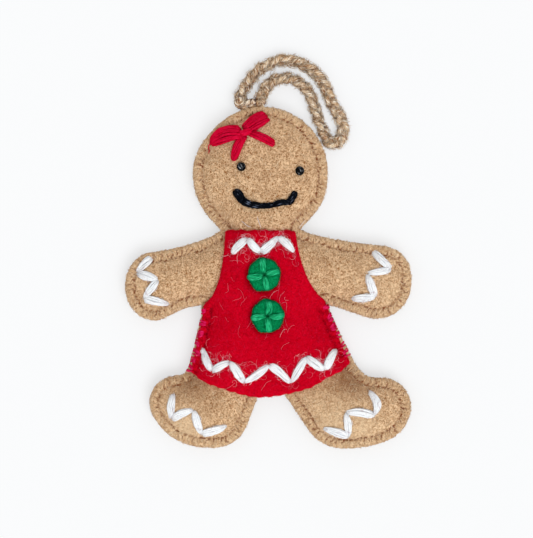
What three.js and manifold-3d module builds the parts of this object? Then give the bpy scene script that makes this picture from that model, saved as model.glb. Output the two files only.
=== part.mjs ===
// Gingerbread woman ornament, hand sewn in wool felt. Two tan felt panels are sewn together round
// their edge over a thin stuffing. On the front lie a red felt dress with yarn zigzags, two felt
// buttons, a stitched face, a yarn bow and zigzags on the hands and feet. A plaited yarn loop for
// hanging grows out of the seam at the top of the head. Units are millimetres. The ornament lies
// on its back: z = 0 is the table, +Z points out of the face, +Y to the head and +X to the
// viewer's right. The origin is under the middle of the body.

import * as THREE from 'three';
import { mergeVertices } from 'three/addons/utils/BufferGeometryUtils.js';
import Module from 'manifold-3d';

const wasm = await Module();
wasm.setup();

// Driving dimensions: felt and yarn
const FELT_THICKNESS = 1.6;
const DRESS_THICKNESS = 1.3;
const BUTTON_THICKNESS = 1.4;
const BUTTON_RADIUS = 5.3;
const EDGE_YARN_THICKNESS = 0.7;
const EDGE_YARN_WIDTH = 1.1;
const EDGE_THREAD_WIDTH = 0.48;
const EDGE_STITCH_REACH = 2.7;
const EDGE_STITCH_PITCH = 2.8;
const DRESS_STITCH_PITCH = 3.3;
const ZIGZAG_YARN_WIDTH = 2.1;
const MOUTH_YARN_WIDTH = 2.3;
const BUTTON_YARN_WIDTH = 1.9;
const EYE_WIDTH = 3.0;
const EYE_HEIGHT = 1.4;
const LOOP_DIAMETER = 4.2;
const LOOP_TAIL_LENGTH = 4.6;
const LOOP_TAIL_WIDTH = 3.6;
const LOOP_TAIL_THICKNESS = 1.0;

// Driving dimensions: the air between neighbouring pieces
const GAP = 0.35;
const STITCH_GAP = 1.3 * GAP;
const BUTTON_GAP = 0.4;
const CLEAR_OF_ROOTS = 4.4;
const CLEAR_OF_TABLE = 0.35;

// Driving dimensions: how the sewn body is built up from the table
const RIM_UNDERSIDE = 2.0;
const RIM_WIDTH = 1.9;
const RIM_SHOULDER = 2.6;
const SEAM_WIDTH = 2.9;
const FRONT_PUFF = 5.6;
const BACK_PUFF = 3.8;
const PUFF_SOFTNESS = 40;
const PUFF_SHAPE = 0.7;
const STUFFING_INSET = 5.6;
const STUFFING_GAP = 1.5 * GAP;
const STUFFING_REACH = 2.4;
const SEAM_MOUTH_OPENING = 0.75;
const SEAM_MOUTH_WIDTH = 4.7;
const CROTCH = [1.2, -35.5];
const CROTCH_REACH = 9.0;
const CROTCH_LIFT = 1.7;
const DRESS_BRIDGE = 1.2;

// How finely the curved felt is divided: the steps along an outline and inside it, and the shares
// of them that the dress and the stuffing use
const OUTLINE_STEP = 3.6;
const GRID_STEP = 7.0;
const DRESS_FINENESS = 0.8;
const STUFFING_FINENESS = 0.85;

// Points are left out that lie nearer to each other than the first share of a step, nearer to
// the edge than the second share of their inset, or nearer to a row than the third of a step.
const CROWDED = 0.3;
const TRUE_INSET = 0.93;
const GRID_MARGIN = 0.55;

// How finely the hanging loop is divided
const LOOP_SIDES = 8;
const LOOP_STEPS = 52;

// Where the head's outline turns, as [x, y]
const LEFT_NECK = [-14.7, 15.6];
const HEAD_LEFT = [-24.6, 35.0];
const HEAD_TOP = [-2.5, 56.5];
const HEAD_RIGHT = [19.8, 35.0];
const RIGHT_NECK = [10.0, 15.7];

// The rounds of the body's outline: centre and half width and half height of each
const RIGHT_THUMB = { x: 37.7, y: 0.4, rx: 9.8, ry: 9.9 };
const RIGHT_HAND = { x: 36.1, y: -1.5, rx: 11.4, ry: 12.0 };
const RIGHT_TOE = { x: 37.8, y: -42.9, rx: 9.6, ry: 9.6 };
const RIGHT_HEEL = { x: 25.6, y: -44.2, rx: 13.8, ry: 12.3 };
const LEFT_HEEL = { x: -18.3, y: -45.4, rx: 12.0, ry: 10.9 };
const LEFT_TOE = { x: -30.2, y: -41.4, rx: 8.7, ry: 8.7 };
const LEFT_HAND = { x: -37.5, y: -2.9, rx: 9.5, ry: 11.2 };

// Where things lie on the front, as [x, y]
const LEFT_EYE = [-8.7, 36.2];
const RIGHT_EYE = [10.5, 35.0];
const MOUTH = [
  [-10.8, 28.7], [-8.4, 25.3], [-5.6, 23.9], [-2.6, 23.4], [2.1, 23.9], [6.9, 24.9], [9.2, 28.0],
];
const BOW_KNOT = { at: [-7.3, 47.7], width: 2.6, height: 2.2 };
const UPPER_BUTTON = [-1.0, 0.7];
const LOWER_BUTTON = [0.2, -12.6];
const NECKLINE = [[-11.8, 7.6], [-6.6, 13.0], [-2.1, 8.0], [3.3, 13.4], [8.9, 8.4]];
const HEM = [
  [-20.9, -23.2], [-18.4, -30.8], [-12.4, -27.4], [-7.5, -34.6], [0.7, -28.6],
  [7.8, -34.8], [12.7, -25.9], [18.7, -30.0], [21.9, -23.4],
];
const LEFT_HAND_ZIGZAG = [[-38.0, 4.9], [-42.5, 1.4], [-36.1, -0.6], [-40.6, -7.0], [-32.6, -8.6]];
const RIGHT_HAND_ZIGZAG = [[34.9, 6.9], [41.0, 2.6], [32.6, 1.4], [35.6, -6.4], [27.7, -7.0]];
const LEFT_FOOT_ZIGZAG = [[-30.9, -38.2], [-31.6, -46.7], [-24.3, -43.3], [-21.9, -51.6], [-13.5, -48.8]];
const RIGHT_FOOT_ZIGZAG = [[33.6, -37.4], [35.2, -45.4], [25.7, -44.3], [26.9, -52.4], [18.3, -49.9]];

// The bow's loops and tails: their two ends, their width, and how much of it is reached along them
const BOW = {
  bow_loop_left: {
    from: [-9.8, 47.4], to: [-17.8, 44.9], width: 6.0, profile: [0.5, 0.85, 1, 0.95, 0.7, 0.25],
  },
  bow_loop_right: {
    from: [-6.1, 49.1], to: [-0.2, 52.9], width: 4.8, profile: [0.6, 0.9, 1, 1, 0.85],
  },
  bow_tail_left: {
    from: [-7.7, 45.4], to: [-11.0, 38.8], width: 3.0, profile: [0.6, 0.9, 1, 0.85, 0.2],
  },
  bow_tail_right: {
    from: [-5.4, 46.8], to: [1.9, 43.9], width: 2.9, profile: [0.7, 0.95, 1, 0.9, 0.5],
  },
};

// The middle line of the hanging loop, from one root in the head's seam to the other, as [x, y]
const LOOP_ROUTE = [
  [-7.2, 57.2], [-8.8, 58.9], [-8.3, 61.6], [-5.6, 65.8], [-2.5, 69.1], [1.4, 71.1], [5.5, 72.2],
  [9.7, 71.6], [13.8, 69.5], [17.0, 66.7], [19.4, 62.9], [20.9, 59.0], [22.7, 55.6], [24.6, 52.4],
  [25.2, 49.3], [24.5, 46.3], [22.4, 44.6], [20.3, 45.3], [19.0, 47.8], [17.8, 50.6], [16.7, 53.8],
  [15.5, 57.6], [14.1, 61.1], [11.7, 64.3], [8.6, 66.0], [5.5, 66.4], [2.5, 65.8], [0.0, 63.9],
  [-1.7, 60.8], [-2.5, 57.8],
];
const LOOP_ROOTS = [[-7.0, 55.3], [-2.3, 55.5]];

// Colours and finishes
const TAN_FELT = { color: 0xc5a077, roughness: 0.95, metalness: 0 };
const TAN_YARN = { color: 0xc8a47c, roughness: 0.9, metalness: 0 };
const RED_FELT = { color: 0xc7031e, roughness: 0.95, metalness: 0 };
const RED_YARN = { color: 0xc00325, roughness: 0.85, metalness: 0 };
const PINK_RED_THREAD = { color: 0xc3043f, roughness: 0.8, metalness: 0 };
const WHITE_YARN = { color: 0xe8eaee, roughness: 0.9, metalness: 0 };
const GREEN_FELT = { color: 0x036f40, roughness: 0.95, metalness: 0 };
const GREEN_YARN = { color: 0x11aa6e, roughness: 0.85, metalness: 0 };
const BLACK_THREAD = { color: 0x080e18, roughness: 0.45, metalness: 0 };
const OATMEAL_YARN = { color: 0xaa8e72, roughness: 0.95, metalness: 0 };
const STUFFING = { color: 0xf2efe8, roughness: 1.0, metalness: 0 };

// Outlines

const degrees = THREE.MathUtils.degToRad;

// Adds a clockwise stretch of a round to a path, from one angle to the other in degrees.
function addRound(path, { x, y, rx, ry }, from, to) {
  path.absellipse(x, y, rx, ry, degrees(from), degrees(to), true);
}

// The body's outer line, stitches included, clockwise from the left side of the neck.
function bodyPath() {
  const path = new THREE.Path();
  path.moveTo(...LEFT_NECK);
  path.bezierCurveTo(-20.0, 19.6, -24.7, 26.0, ...HEAD_LEFT);
  path.bezierCurveTo(-24.6, 44.9, -12.6, 56.5, ...HEAD_TOP);
  path.bezierCurveTo(9.8, 56.5, 19.8, 46.9, ...HEAD_RIGHT);
  path.bezierCurveTo(19.8, 26.6, 18.0, 22.9, ...RIGHT_NECK);
  path.quadraticCurveTo(20.0, 12.1, 38.5, 10.3);
  addRound(path, RIGHT_THUMB, 85, 0);
  addRound(path, RIGHT_HAND, 0, -106);
  path.quadraticCurveTo(27.2, -11.2, 19.5, -8.5);
  path.quadraticCurveTo(22.9, -17.4, 27.8, -26.4);
  path.quadraticCurveTo(30.9, -33.0, 34.8, -33.3);
  addRound(path, RIGHT_TOE, 95, -30);
  path.quadraticCurveTo(43.1, -55.2, 28.0, -56.4);
  addRound(path, RIGHT_HEEL, -84, -153);
  path.lineTo(5.0, -37.4);
  path.quadraticCurveTo(1.6, -31.4, -2.6, -37.4);
  addRound(path, LEFT_HEEL, -23, -100);
  path.quadraticCurveTo(-32.0, -55.7, -37.7, -45.8);
  addRound(path, LEFT_TOE, 210, 95);
  path.quadraticCurveTo(-26.5, -32.6, -26.0, -29.6);
  path.quadraticCurveTo(-23.3, -20.6, -21.1, -8.7);
  path.quadraticCurveTo(-27.6, -9.6, -32.7, -12.6);
  addRound(path, LEFT_HAND, -60, -258);
  path.quadraticCurveTo(-24.0, 10.0, ...LEFT_NECK);
  return path;
}

// The dress's edge: straight neck, hollowed armholes, flared sides and a hem that bows down.
function dressPath() {
  const path = new THREE.Path();
  path.moveTo(-13.5, 15.1);
  path.lineTo(8.8, 14.9);
  path.quadraticCurveTo(10.4, -1.4, 18.6, -8.2);
  path.quadraticCurveTo(20.9, -17.6, 26.4, -27.8);
  path.quadraticCurveTo(24.2, -32.0, 14.6, -35.5);
  path.quadraticCurveTo(4.0, -39.4, -4.0, -39.0);
  path.quadraticCurveTo(-13.0, -37.6, -24.9, -30.2);
  path.quadraticCurveTo(-22.2, -20.6, -20.3, -9.0);
  path.quadraticCurveTo(-13.9, -4.6, -13.5, 15.1);
  return path;
}

// Points along a closed path about one step apart, with every joint of the path among them,
// returned anticlockwise.
function ringFromPath(path, step) {
  const ring = [];
  for (const curve of path.curves) {
    const length = curve.getLength();
    const parts = Math.max(1, Math.round(length / step));
    for (let i = 0; i < parts; i++) ring.push(curve.getPointAt(i / parts));
  }
  const distinct = ring.filter((point, i) => {
    return point.distanceTo(ring[(i + 1) % ring.length]) > CROWDED * step;
  });
  return THREE.ShapeUtils.isClockWise(distinct) ? distinct.reverse() : distinct;
}

function circleRing([x, y], radius, sides) {
  return Array.from({ length: sides }, (_, i) => {
    const angle = (i / sides) * 2 * Math.PI;
    return new THREE.Vector2(x + radius * Math.cos(angle), y + radius * Math.sin(angle));
  });
}

// The direction into the ring at one of its points, for an anticlockwise ring.
function inwardAt(ring, i) {
  const before = ring[(i + ring.length - 1) % ring.length];
  const after = ring[(i + 1) % ring.length];
  const along = after.clone().sub(before).normalize();
  return new THREE.Vector2(-along.y, along.x);
}

function distanceToRing(ring, point) {
  let nearest = Infinity;
  const segment = new THREE.Line3();
  const foot = new THREE.Vector3();
  const at = new THREE.Vector3(point.x, point.y, 0);
  ring.forEach((corner, i) => {
    const next = ring[(i + 1) % ring.length];
    segment.set(new THREE.Vector3(corner.x, corner.y, 0), new THREE.Vector3(next.x, next.y, 0));
    segment.closestPointToPoint(at, true, foot);
    nearest = Math.min(nearest, foot.distanceTo(at));
  });
  return nearest;
}

function isInside(ring, point) {
  let inside = false;
  ring.forEach((a, i) => {
    const b = ring[(i + 1) % ring.length];
    if (a.y > point.y !== b.y > point.y) {
      const crossing = a.x + ((b.x - a.x) * (point.y - a.y)) / (b.y - a.y);
      if (point.x < crossing) inside = !inside;
    }
  });
  return inside;
}

// A ring moved inwards, with the points left out that would come too near the first ring or crowd.
function insetRing(ring, distance) {
  const moved = ring.map((point, i) => point.clone().addScaledVector(inwardAt(ring, i), distance));
  const clear = moved.filter((point) => {
    return isInside(ring, point) && distanceToRing(ring, point) > TRUE_INSET * distance;
  });
  const nearest = CROWDED * OUTLINE_STEP;
  const spaced = [];
  for (const point of clear) {
    const last = spaced[spaced.length - 1];
    if (!last || point.distanceTo(last) > nearest) spaced.push(point);
  }
  if (spaced[0].distanceTo(spaced[spaced.length - 1]) < nearest) spaced.pop();
  return spaced;
}

// Triangles

function circumcircle(points, a, b, c) {
  const [p, q, r] = [points[a], points[b], points[c]];
  const d = 2 * (p.x * (q.y - r.y) + q.x * (r.y - p.y) + r.x * (p.y - q.y));
  const [pp, qq, rr] = [p.lengthSq(), q.lengthSq(), r.lengthSq()];
  const x = (pp * (q.y - r.y) + qq * (r.y - p.y) + rr * (p.y - q.y)) / d;
  const y = (pp * (r.x - q.x) + qq * (p.x - r.x) + rr * (q.x - p.x)) / d;
  const centre = new THREE.Vector2(x, y);
  return { corners: [a, b, c], centre, reach: centre.distanceToSquared(p) };
}

// Delaunay triangles: the points are added one by one, inner ones first, and the triangles whose
// circumcircle holds the new point give way to a fan round it.
function triangulate(points) {
  const far = 1e5;
  const outer = [new THREE.Vector2(-far, -far), new THREE.Vector2(far, -far), new THREE.Vector2(0, far)];
  const all = [...points, ...outer];
  const count = points.length;
  let triangles = [circumcircle(all, count, count + 1, count + 2)];
  for (let i = count - 1; i >= 0; i--) {
    const boundary = new Map();
    triangles = triangles.filter(({ corners, centre, reach }) => {
      if (centre.distanceToSquared(all[i]) > reach) return true;
      corners.forEach((from, k) => {
        const to = corners[(k + 1) % 3];
        if (!boundary.delete(`${to} ${from}`)) boundary.set(`${from} ${to}`, [from, to]);
      });
      return false;
    });
    for (const [from, to] of boundary.values()) triangles.push(circumcircle(all, from, to, i));
  }
  return triangles.map(({ corners }) => corners).filter((corners) => Math.max(...corners) < count);
}

// A flat pattern piece cut to a ring: its points, edge first, and the triangles between them.
// The inner rings follow the edge, and a triangular grid fills the rest.
function patternPiece(edge, insets, gridStep) {
  const points = [...edge];
  let innermost = edge;
  for (const inset of insets) {
    innermost = insetRing(edge, inset);
    points.push(...innermost);
  }
  const box = new THREE.Box2().setFromPoints(edge);
  const rowStep = gridStep * Math.sqrt(0.75);
  for (let row = 0; box.min.y + row * rowStep < box.max.y; row++) {
    for (let x = box.min.x + (row % 2) * 0.5 * gridStep; x < box.max.x; x += gridStep) {
      const point = new THREE.Vector2(x, box.min.y + row * rowStep);
      if (!isInside(innermost, point)) continue;
      if (distanceToRing(innermost, point) > GRID_MARGIN * gridStep) points.push(point);
    }
  }
  const triangles = triangulate(points).filter(([a, b, c]) => {
    const middle = points[a].clone().add(points[b]).add(points[c]).divideScalar(3);
    return isInside(edge, middle);
  });
  return { points, triangles, edgeCount: edge.length };
}

// Solids

function geometryFrom(vertices, faces) {
  const geometry = new THREE.BufferGeometry();
  geometry.setAttribute('position', new THREE.Float32BufferAttribute(vertices.flat(), 3));
  geometry.setIndex(faces.flat());
  return geometry;
}

// A closed sheet over a pattern piece, between two heights that are functions of x and y.
function sheetSolid({ points, triangles, edgeCount }, bottom, top) {
  const count = points.length;
  const vertices = [
    ...points.map(({ x, y }) => [x, y, bottom(x, y)]),
    ...points.map(({ x, y }) => [x, y, top(x, y)]),
  ];
  const faces = [];
  for (const [a, b, c] of triangles) {
    faces.push([a, c, b], [count + a, count + b, count + c]);
  }
  for (let i = 0; i < edgeCount; i++) {
    const next = (i + 1) % edgeCount;
    faces.push([i, next, count + next], [i, count + next, count + i]);
  }
  return geometryFrom(vertices, faces);
}

// The height of a pattern piece's flat triangles at a point, or the fallback outside them.
function facetHeight({ points, triangles }, height, fallback) {
  const heights = points.map(({ x, y }) => height(x, y));
  const bary = new THREE.Vector3();
  const flat = points.map(({ x, y }) => new THREE.Vector3(x, y, 0));
  return (x, y) => {
    const at = new THREE.Vector3(x, y, 0);
    for (const [a, b, c] of triangles) {
      THREE.Triangle.getBarycoord(at, flat[a], flat[b], flat[c], bary);
      if (Math.min(bary.x, bary.y, bary.z) > -1e-6) {
        return bary.x * heights[a] + bary.y * heights[b] + bary.z * heights[c];
      }
    }
    return fallback;
  };
}

function toManifold(geometry) {
  const bare = geometry.clone();
  bare.deleteAttribute('normal');
  bare.deleteAttribute('uv');
  const merged = mergeVertices(bare, 1e-4);
  return new wasm.Manifold(new wasm.Mesh({
    numProp: 3,
    vertProperties: new Float32Array(merged.attributes.position.array),
    triVerts: new Uint32Array(merged.index.array),
  }));
}

// Joins overlapping closed geometries into one.
function join(geometries) {
  const whole = geometries.map(toManifold).reduce((sum, next) => sum.add(next));
  const { vertProperties, triVerts } = whole.getMesh();
  const geometry = new THREE.BufferGeometry();
  geometry.setAttribute('position', new THREE.BufferAttribute(new Float32Array(vertProperties), 3));
  geometry.setIndex([...triVerts]);
  return geometry;
}

// How far the stuffing swells the felt at each point, from 0 at the seam to 1. It starts from
// the height of a soap film blown up over the outline, found on a square grid.
function swellOver(ring) {
  const cell = 1.0;
  const sweeps = 2500;
  const box = new THREE.Box2().setFromPoints(ring).expandByScalar(2 * cell);
  const columns = Math.ceil((box.max.x - box.min.x) / cell);
  const rows = Math.ceil((box.max.y - box.min.y) / cell);
  const film = new Float64Array(columns * rows);
  const cells = [];
  for (let row = 1; row < rows - 1; row++) {
    for (let column = 1; column < columns - 1; column++) {
      const at = new THREE.Vector2(box.min.x + column * cell, box.min.y + row * cell);
      if (isInside(ring, at)) cells.push(row * columns + column);
    }
  }
  for (let sweep = 0; sweep < sweeps; sweep++) {
    for (const i of cells) {
      const neighbours = film[i - 1] + film[i + 1] + film[i - columns] + film[i + columns];
      film[i] = (neighbours + cell * cell) / 4;
    }
  }
  return (x, y) => {
    const u = THREE.MathUtils.clamp((x - box.min.x) / cell, 0, columns - 1.001);
    const v = THREE.MathUtils.clamp((y - box.min.y) / cell, 0, rows - 1.001);
    const i = Math.floor(v) * columns + Math.floor(u);
    const below = THREE.MathUtils.lerp(film[i], film[i + 1], u % 1);
    const above = THREE.MathUtils.lerp(film[i + columns], film[i + columns + 1], u % 1);
    const height = THREE.MathUtils.lerp(below, above, v % 1);
    return Math.pow(1 - Math.exp(-height / PUFF_SOFTNESS), PUFF_SHAPE);
  };
}

// The body's pattern and its heights

const silhouette = ringFromPath(bodyPath(), OUTLINE_STEP);
const feltEdge = insetRing(silhouette, EDGE_YARN_THICKNESS + GAP);
const swell = swellOver(insetRing(feltEdge, SEAM_WIDTH));
const bodyPattern = patternPiece(feltEdge, [RIM_WIDTH, RIM_WIDTH + RIM_SHOULDER], GRID_STEP);

// The seam is eased open where the loop's two ends are trapped in it.
function seamMouth(x, y) {
  return LOOP_ROOTS.reduce((most, [rootX, rootY]) => {
    const away = Math.hypot(x - rootX, y - rootY) / SEAM_MOUTH_WIDTH;
    return Math.max(most, SEAM_MOUTH_OPENING * Math.exp(-(away ** 4)));
  }, 0);
}

const BACK_RIM_TOP = RIM_UNDERSIDE + FELT_THICKNESS;
const FRONT_RIM_UNDERSIDE = BACK_RIM_TOP + GAP;

const backBottom = (x, y) => Math.max(0, RIM_UNDERSIDE - BACK_PUFF * swell(x, y) - seamMouth(x, y));
const backTop = (x, y) => backBottom(x, y) + FELT_THICKNESS;
const frontBottom = (x, y) => FRONT_RIM_UNDERSIDE + FRONT_PUFF * swell(x, y) + seamMouth(x, y);
const frontTop = (x, y) => frontBottom(x, y) + FELT_THICKNESS;

// A surface's height at a point and at six points round it.
function heightsAround(height, x, y, reach) {
  const round = [0, 1, 2, 3, 4, 5].map((k) => {
    const angle = (k / 6) * 2 * Math.PI;
    return height(x + reach * Math.cos(angle), y + reach * Math.sin(angle));
  });
  return [height(x, y), ...round];
}

const backFacets = facetHeight(bodyPattern, backBottom, RIM_UNDERSIDE);
const underBack = (x, y) => Math.min(backBottom(x, y), backFacets(x, y));
const frontFacets = facetHeight(bodyPattern, frontTop, FRONT_RIM_UNDERSIDE + FELT_THICKNESS);
const overFront = (x, y) => Math.max(frontTop(x, y), frontFacets(x, y));

// The hem hangs over the stitched edge at the top of the legs' gap.
function overCrotch(x, y) {
  const away = Math.hypot(x - CROTCH[0], y - CROTCH[1]) / CROTCH_REACH;
  return CROTCH_LIFT * Math.exp(-(away ** 4));
}

// Felt is too stiff to follow every dip, so the dress lies on the highest ground near each point.
function groundUnderDress(x, y) {
  return Math.max(...heightsAround(overFront, x, y, DRESS_BRIDGE)) + overCrotch(x, y);
}

const dressEdge = ringFromPath(dressPath(), DRESS_FINENESS * OUTLINE_STEP);
const dressInsets = [RIM_WIDTH, RIM_WIDTH + RIM_SHOULDER];
const dressPattern = patternPiece(dressEdge, dressInsets, DRESS_FINENESS * GRID_STEP);
const dressBottom = (x, y) => groundUnderDress(x, y) + GAP;
const dressTop = (x, y) => dressBottom(x, y) + DRESS_THICKNESS;
const dressFacets = facetHeight(dressPattern, dressTop, 0);
const overDress = (x, y) => Math.max(dressTop(x, y), dressFacets(x, y));

// Yarn

// A stitch of yarn from one hole to the next over a surface: fat in the middle and drawn in at
// its ends. The profile gives its half width along its length.
function stitch(from, to, width, surface, sides = 6, profile = [0.5, 0.9, 1, 0.9, 0.5]) {
  const start = new THREE.Vector2(...from);
  const end = new THREE.Vector2(...to);
  const along = end.clone().sub(start).normalize();
  const across = new THREE.Vector2(-along.y, along.x);
  const flatness = 0.7;
  const vertices = [];
  const faces = [];
  profile.forEach((share, ring) => {
    const at = start.clone().lerp(end, ring / (profile.length - 1));
    const half = 0.5 * width * share;
    const ground = Math.max(...[-1, 0, 1].map((side) => {
      return surface(at.x + side * half * across.x, at.y + side * half * across.y);
    }));
    const middle = ground + GAP + flatness * half;
    for (let side = 0; side < sides; side++) {
      const angle = ((side + 0.5) / sides) * 2 * Math.PI;
      const out = half * Math.cos(angle);
      const z = middle + flatness * half * Math.sin(angle);
      vertices.push([at.x + out * across.x, at.y + out * across.y, z]);
      if (ring > 0) {
        const here = ring * sides + side;
        const next = ring * sides + ((side + 1) % sides);
        faces.push([here - sides, next - sides, next], [here - sides, next, here]);
      }
    }
  });
  const last = (profile.length - 1) * sides;
  for (let side = 1; side < sides - 1; side++) {
    faces.push([0, side + 1, side], [last, last + side, last + side + 1]);
  }
  return geometryFrom(vertices, faces);
}

// A row of stitches that share their holes.
function stitchRow(holes, width, surface) {
  const stitches = holes.slice(1).map((hole, i) => stitch(holes[i], hole, width, surface));
  return join(stitches);
}

// Four stitches that meet in the middle of a button and run out over its edge.
function crossStitch([x, y], arms, surface) {
  return join(arms.map(([dx, dy]) => {
    return stitch([x, y], [x + dx, y + dy], BUTTON_YARN_WIDTH, surface, 6, [0.7, 0.95, 1, 0.6]);
  }));
}

// One leg of the edge stitching: yarn that wraps the seam like a staple, from the front over the
// edge to the back.
function wrapStitch(edgePoint, inward, low, high) {
  const yarn = EDGE_YARN_THICKNESS;
  const profile = new THREE.Shape([
    new THREE.Vector2(0, low), new THREE.Vector2(EDGE_STITCH_REACH, low),
    new THREE.Vector2(EDGE_STITCH_REACH, low + yarn), new THREE.Vector2(yarn, low + yarn),
    new THREE.Vector2(yarn, high - yarn), new THREE.Vector2(EDGE_STITCH_REACH, high - yarn),
    new THREE.Vector2(EDGE_STITCH_REACH, high), new THREE.Vector2(0, high),
  ]);
  const geometry = new THREE.ExtrudeGeometry(profile, { depth: EDGE_YARN_WIDTH, bevelEnabled: false });
  geometry.translate(0, 0, -0.5 * EDGE_YARN_WIDTH);
  const reach = new THREE.Vector3(inward.x, inward.y, 0);
  const up = new THREE.Vector3(0, 0, 1);
  const frame = new THREE.Matrix4().makeBasis(reach, up, reach.clone().cross(up));
  frame.setPosition(edgePoint.x, edgePoint.y, 0);
  return geometry.applyMatrix4(frame);
}

// The stretch of the outline between two of its points, anticlockwise, as a curve.
function outlineStretch(from, to) {
  const nearest = ([x, y]) => {
    const gaps = silhouette.map((point) => point.distanceTo(new THREE.Vector2(x, y)));
    return gaps.indexOf(Math.min(...gaps));
  };
  const first = nearest(from);
  const steps = (nearest(to) - first + silhouette.length) % silhouette.length;
  const path = new THREE.CurvePath();
  for (let i = 0; i < steps; i++) {
    const a = silhouette[(first + i) % silhouette.length];
    const b = silhouette[(first + i + 1) % silhouette.length];
    path.add(new THREE.LineCurve(a, b));
  }
  return path;
}

// Blanket stitching along a stretch of the outline: wrapping stitches, joined by the thread that
// runs from one to the next along the edge. The last argument says at which points a stitch may
// lie on the front.
function edgeStitching(from, to, pitch, top, mayCross) {
  const path = outlineStretch(from, to);
  const length = path.getLength();
  const count = Math.round(length / pitch);
  const margin = 0.5 * EDGE_YARN_WIDTH / length;
  const thread = [];
  const legs = [];
  for (let i = 0; i <= count; i++) {
    const t = THREE.MathUtils.lerp(margin, 1 - margin, i / count);
    const point = path.getPointAt(t);
    const before = path.getPointAt(Math.max(0, t - 1.2 / length));
    const after = path.getPointAt(Math.min(1, t + 1.2 / length));
    const along = after.clone().sub(before).normalize();
    const inward = new THREE.Vector2(-along.y, along.x);
    const under = [0.35, 0.6, 0.8, 1].flatMap((share) => [-0.5, 0.5].map((side) => {
      const spot = point.clone().addScaledVector(inward, share * EDGE_STITCH_REACH);
      return spot.addScaledVector(along, side * EDGE_YARN_WIDTH);
    }));
    const yarn = STITCH_GAP + EDGE_YARN_THICKNESS;
    const high = Math.max(...under.map(({ x, y }) => top(x, y))) + yarn;
    const low = Math.min(...under.map(({ x, y }) => underBack(x, y))) - yarn;
    const clear = low > CLEAR_OF_TABLE && under.every(mayCross);
    if (clear) legs.push(wrapStitch(point, inward, low, high));
    const lane = point.clone().addScaledVector(inward, 0.5 * EDGE_YARN_THICKNESS);
    thread.push(new THREE.Vector3(lane.x, lane.y, BACK_RIM_TOP));
  }
  return join([threadAlong(thread), ...legs]);
}

// A thin square thread through points at one height, a little slimmer than the wrapping yarn.
function threadAlong(points) {
  const half = 0.5 * EDGE_THREAD_WIDTH;
  const vertices = [];
  const faces = [];
  const corners = [[-1, -1], [1, -1], [1, 1], [-1, 1]];
  points.forEach((point, i) => {
    const before = points[Math.max(0, i - 1)];
    const after = points[Math.min(points.length - 1, i + 1)];
    const along = after.clone().sub(before).setZ(0).normalize();
    corners.forEach(([side, up], k) => {
      const out = side * half;
      vertices.push([point.x + out * along.y, point.y - out * along.x, point.z + up * half]);
      if (i > 0) {
        const here = i * 4 + k;
        const next = i * 4 + ((k + 1) % 4);
        faces.push([here - 4, next, next - 4], [here - 4, here, next]);
      }
    });
  });
  const last = 4 * (points.length - 1);
  faces.push([0, 1, 2], [0, 2, 3], [last, last + 2, last + 1], [last, last + 3, last + 2]);
  return geometryFrom(vertices, faces);
}

// The hanging loop: a tube that leaves the seam at one root, lies on the table and comes back.
function hangingLoop() {
  const radius = 0.5 * LOOP_DIAMETER;
  const points = LOOP_ROUTE.map(([x, y], i) => {
    const fromEnd = Math.min(i, LOOP_ROUTE.length - 1 - i);
    const climb = [BACK_RIM_TOP + 0.5 * GAP, 2.9, radius + 0.15];
    return new THREE.Vector3(x, y, fromEnd < climb.length ? climb[fromEnd] : radius);
  });
  const section = new THREE.Shape(circleRing([0, 0], radius, LOOP_SIDES));
  return new THREE.ExtrudeGeometry(section, {
    steps: LOOP_STEPS,
    extrudePath: new THREE.CatmullRomCurve3(points),
    bevelEnabled: false,
  });
}

// The flattened end of the loop that is trapped between the two panels.
function loopTail([x, y], [towardX, towardY]) {
  const outward = new THREE.Vector2(towardX - x, towardY - y).normalize();
  const geometry = new THREE.BoxGeometry(LOOP_TAIL_WIDTH, LOOP_TAIL_LENGTH, LOOP_TAIL_THICKNESS);
  geometry.rotateZ(Math.atan2(outward.y, outward.x) - 0.5 * Math.PI);
  const middle = BACK_RIM_TOP + 0.5 * GAP;
  const back = 0.5 * LOOP_TAIL_LENGTH;
  return geometry.translate(x - back * outward.x, y - back * outward.y, middle);
}

// A small bead with a flattened underside, resting on a surface.
function bead([x, y], width, height, surface) {
  const radius = 0.5 * width;
  const profile = [];
  const steps = 6;
  for (let i = 0; i <= steps; i++) {
    const angle = -0.25 * Math.PI + (i / steps) * 0.75 * Math.PI;
    profile.push(new THREE.Vector2(i === steps ? 0 : radius * Math.cos(angle), height * Math.sin(angle)));
  }
  profile.unshift(new THREE.Vector2(0, profile[0].y));
  const geometry = new THREE.LatheGeometry(profile, 12);
  geometry.rotateX(0.5 * Math.PI);
  const ground = Math.max(...heightsAround(surface, x, y, radius));
  return geometry.translate(x, y, ground + GAP - profile[0].y);
}

// Assembly

const ornament = new THREE.Group();

function add(name, geometry, finish) {
  const mesh = new THREE.Mesh(geometry, new THREE.MeshStandardMaterial(finish));
  mesh.name = name;
  ornament.add(mesh);
}

// Body
add('front_felt', sheetSolid(bodyPattern, frontBottom, frontTop), TAN_FELT);
add('back_felt', sheetSolid(bodyPattern, backBottom, backTop), TAN_FELT);
const stuffingEdge = insetRing(feltEdge, STUFFING_INSET);
const stuffingPattern = patternPiece(stuffingEdge, [], STUFFING_FINENESS * GRID_STEP);
const aboveBack = (x, y) => Math.max(backTop(x, y), backFacets(x, y) + FELT_THICKNESS);
const belowFront = (x, y) => Math.min(frontBottom(x, y), frontFacets(x, y) - FELT_THICKNESS);
const stuffingBottom = (x, y) => {
  return Math.max(...heightsAround(aboveBack, x, y, STUFFING_REACH)) + STUFFING_GAP;
};
const stuffingTop = (x, y) => {
  return Math.min(...heightsAround(belowFront, x, y, STUFFING_REACH)) - STUFFING_GAP;
};
add('stuffing', sheetSolid(stuffingPattern, stuffingBottom, stuffingTop), STUFFING);

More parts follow.
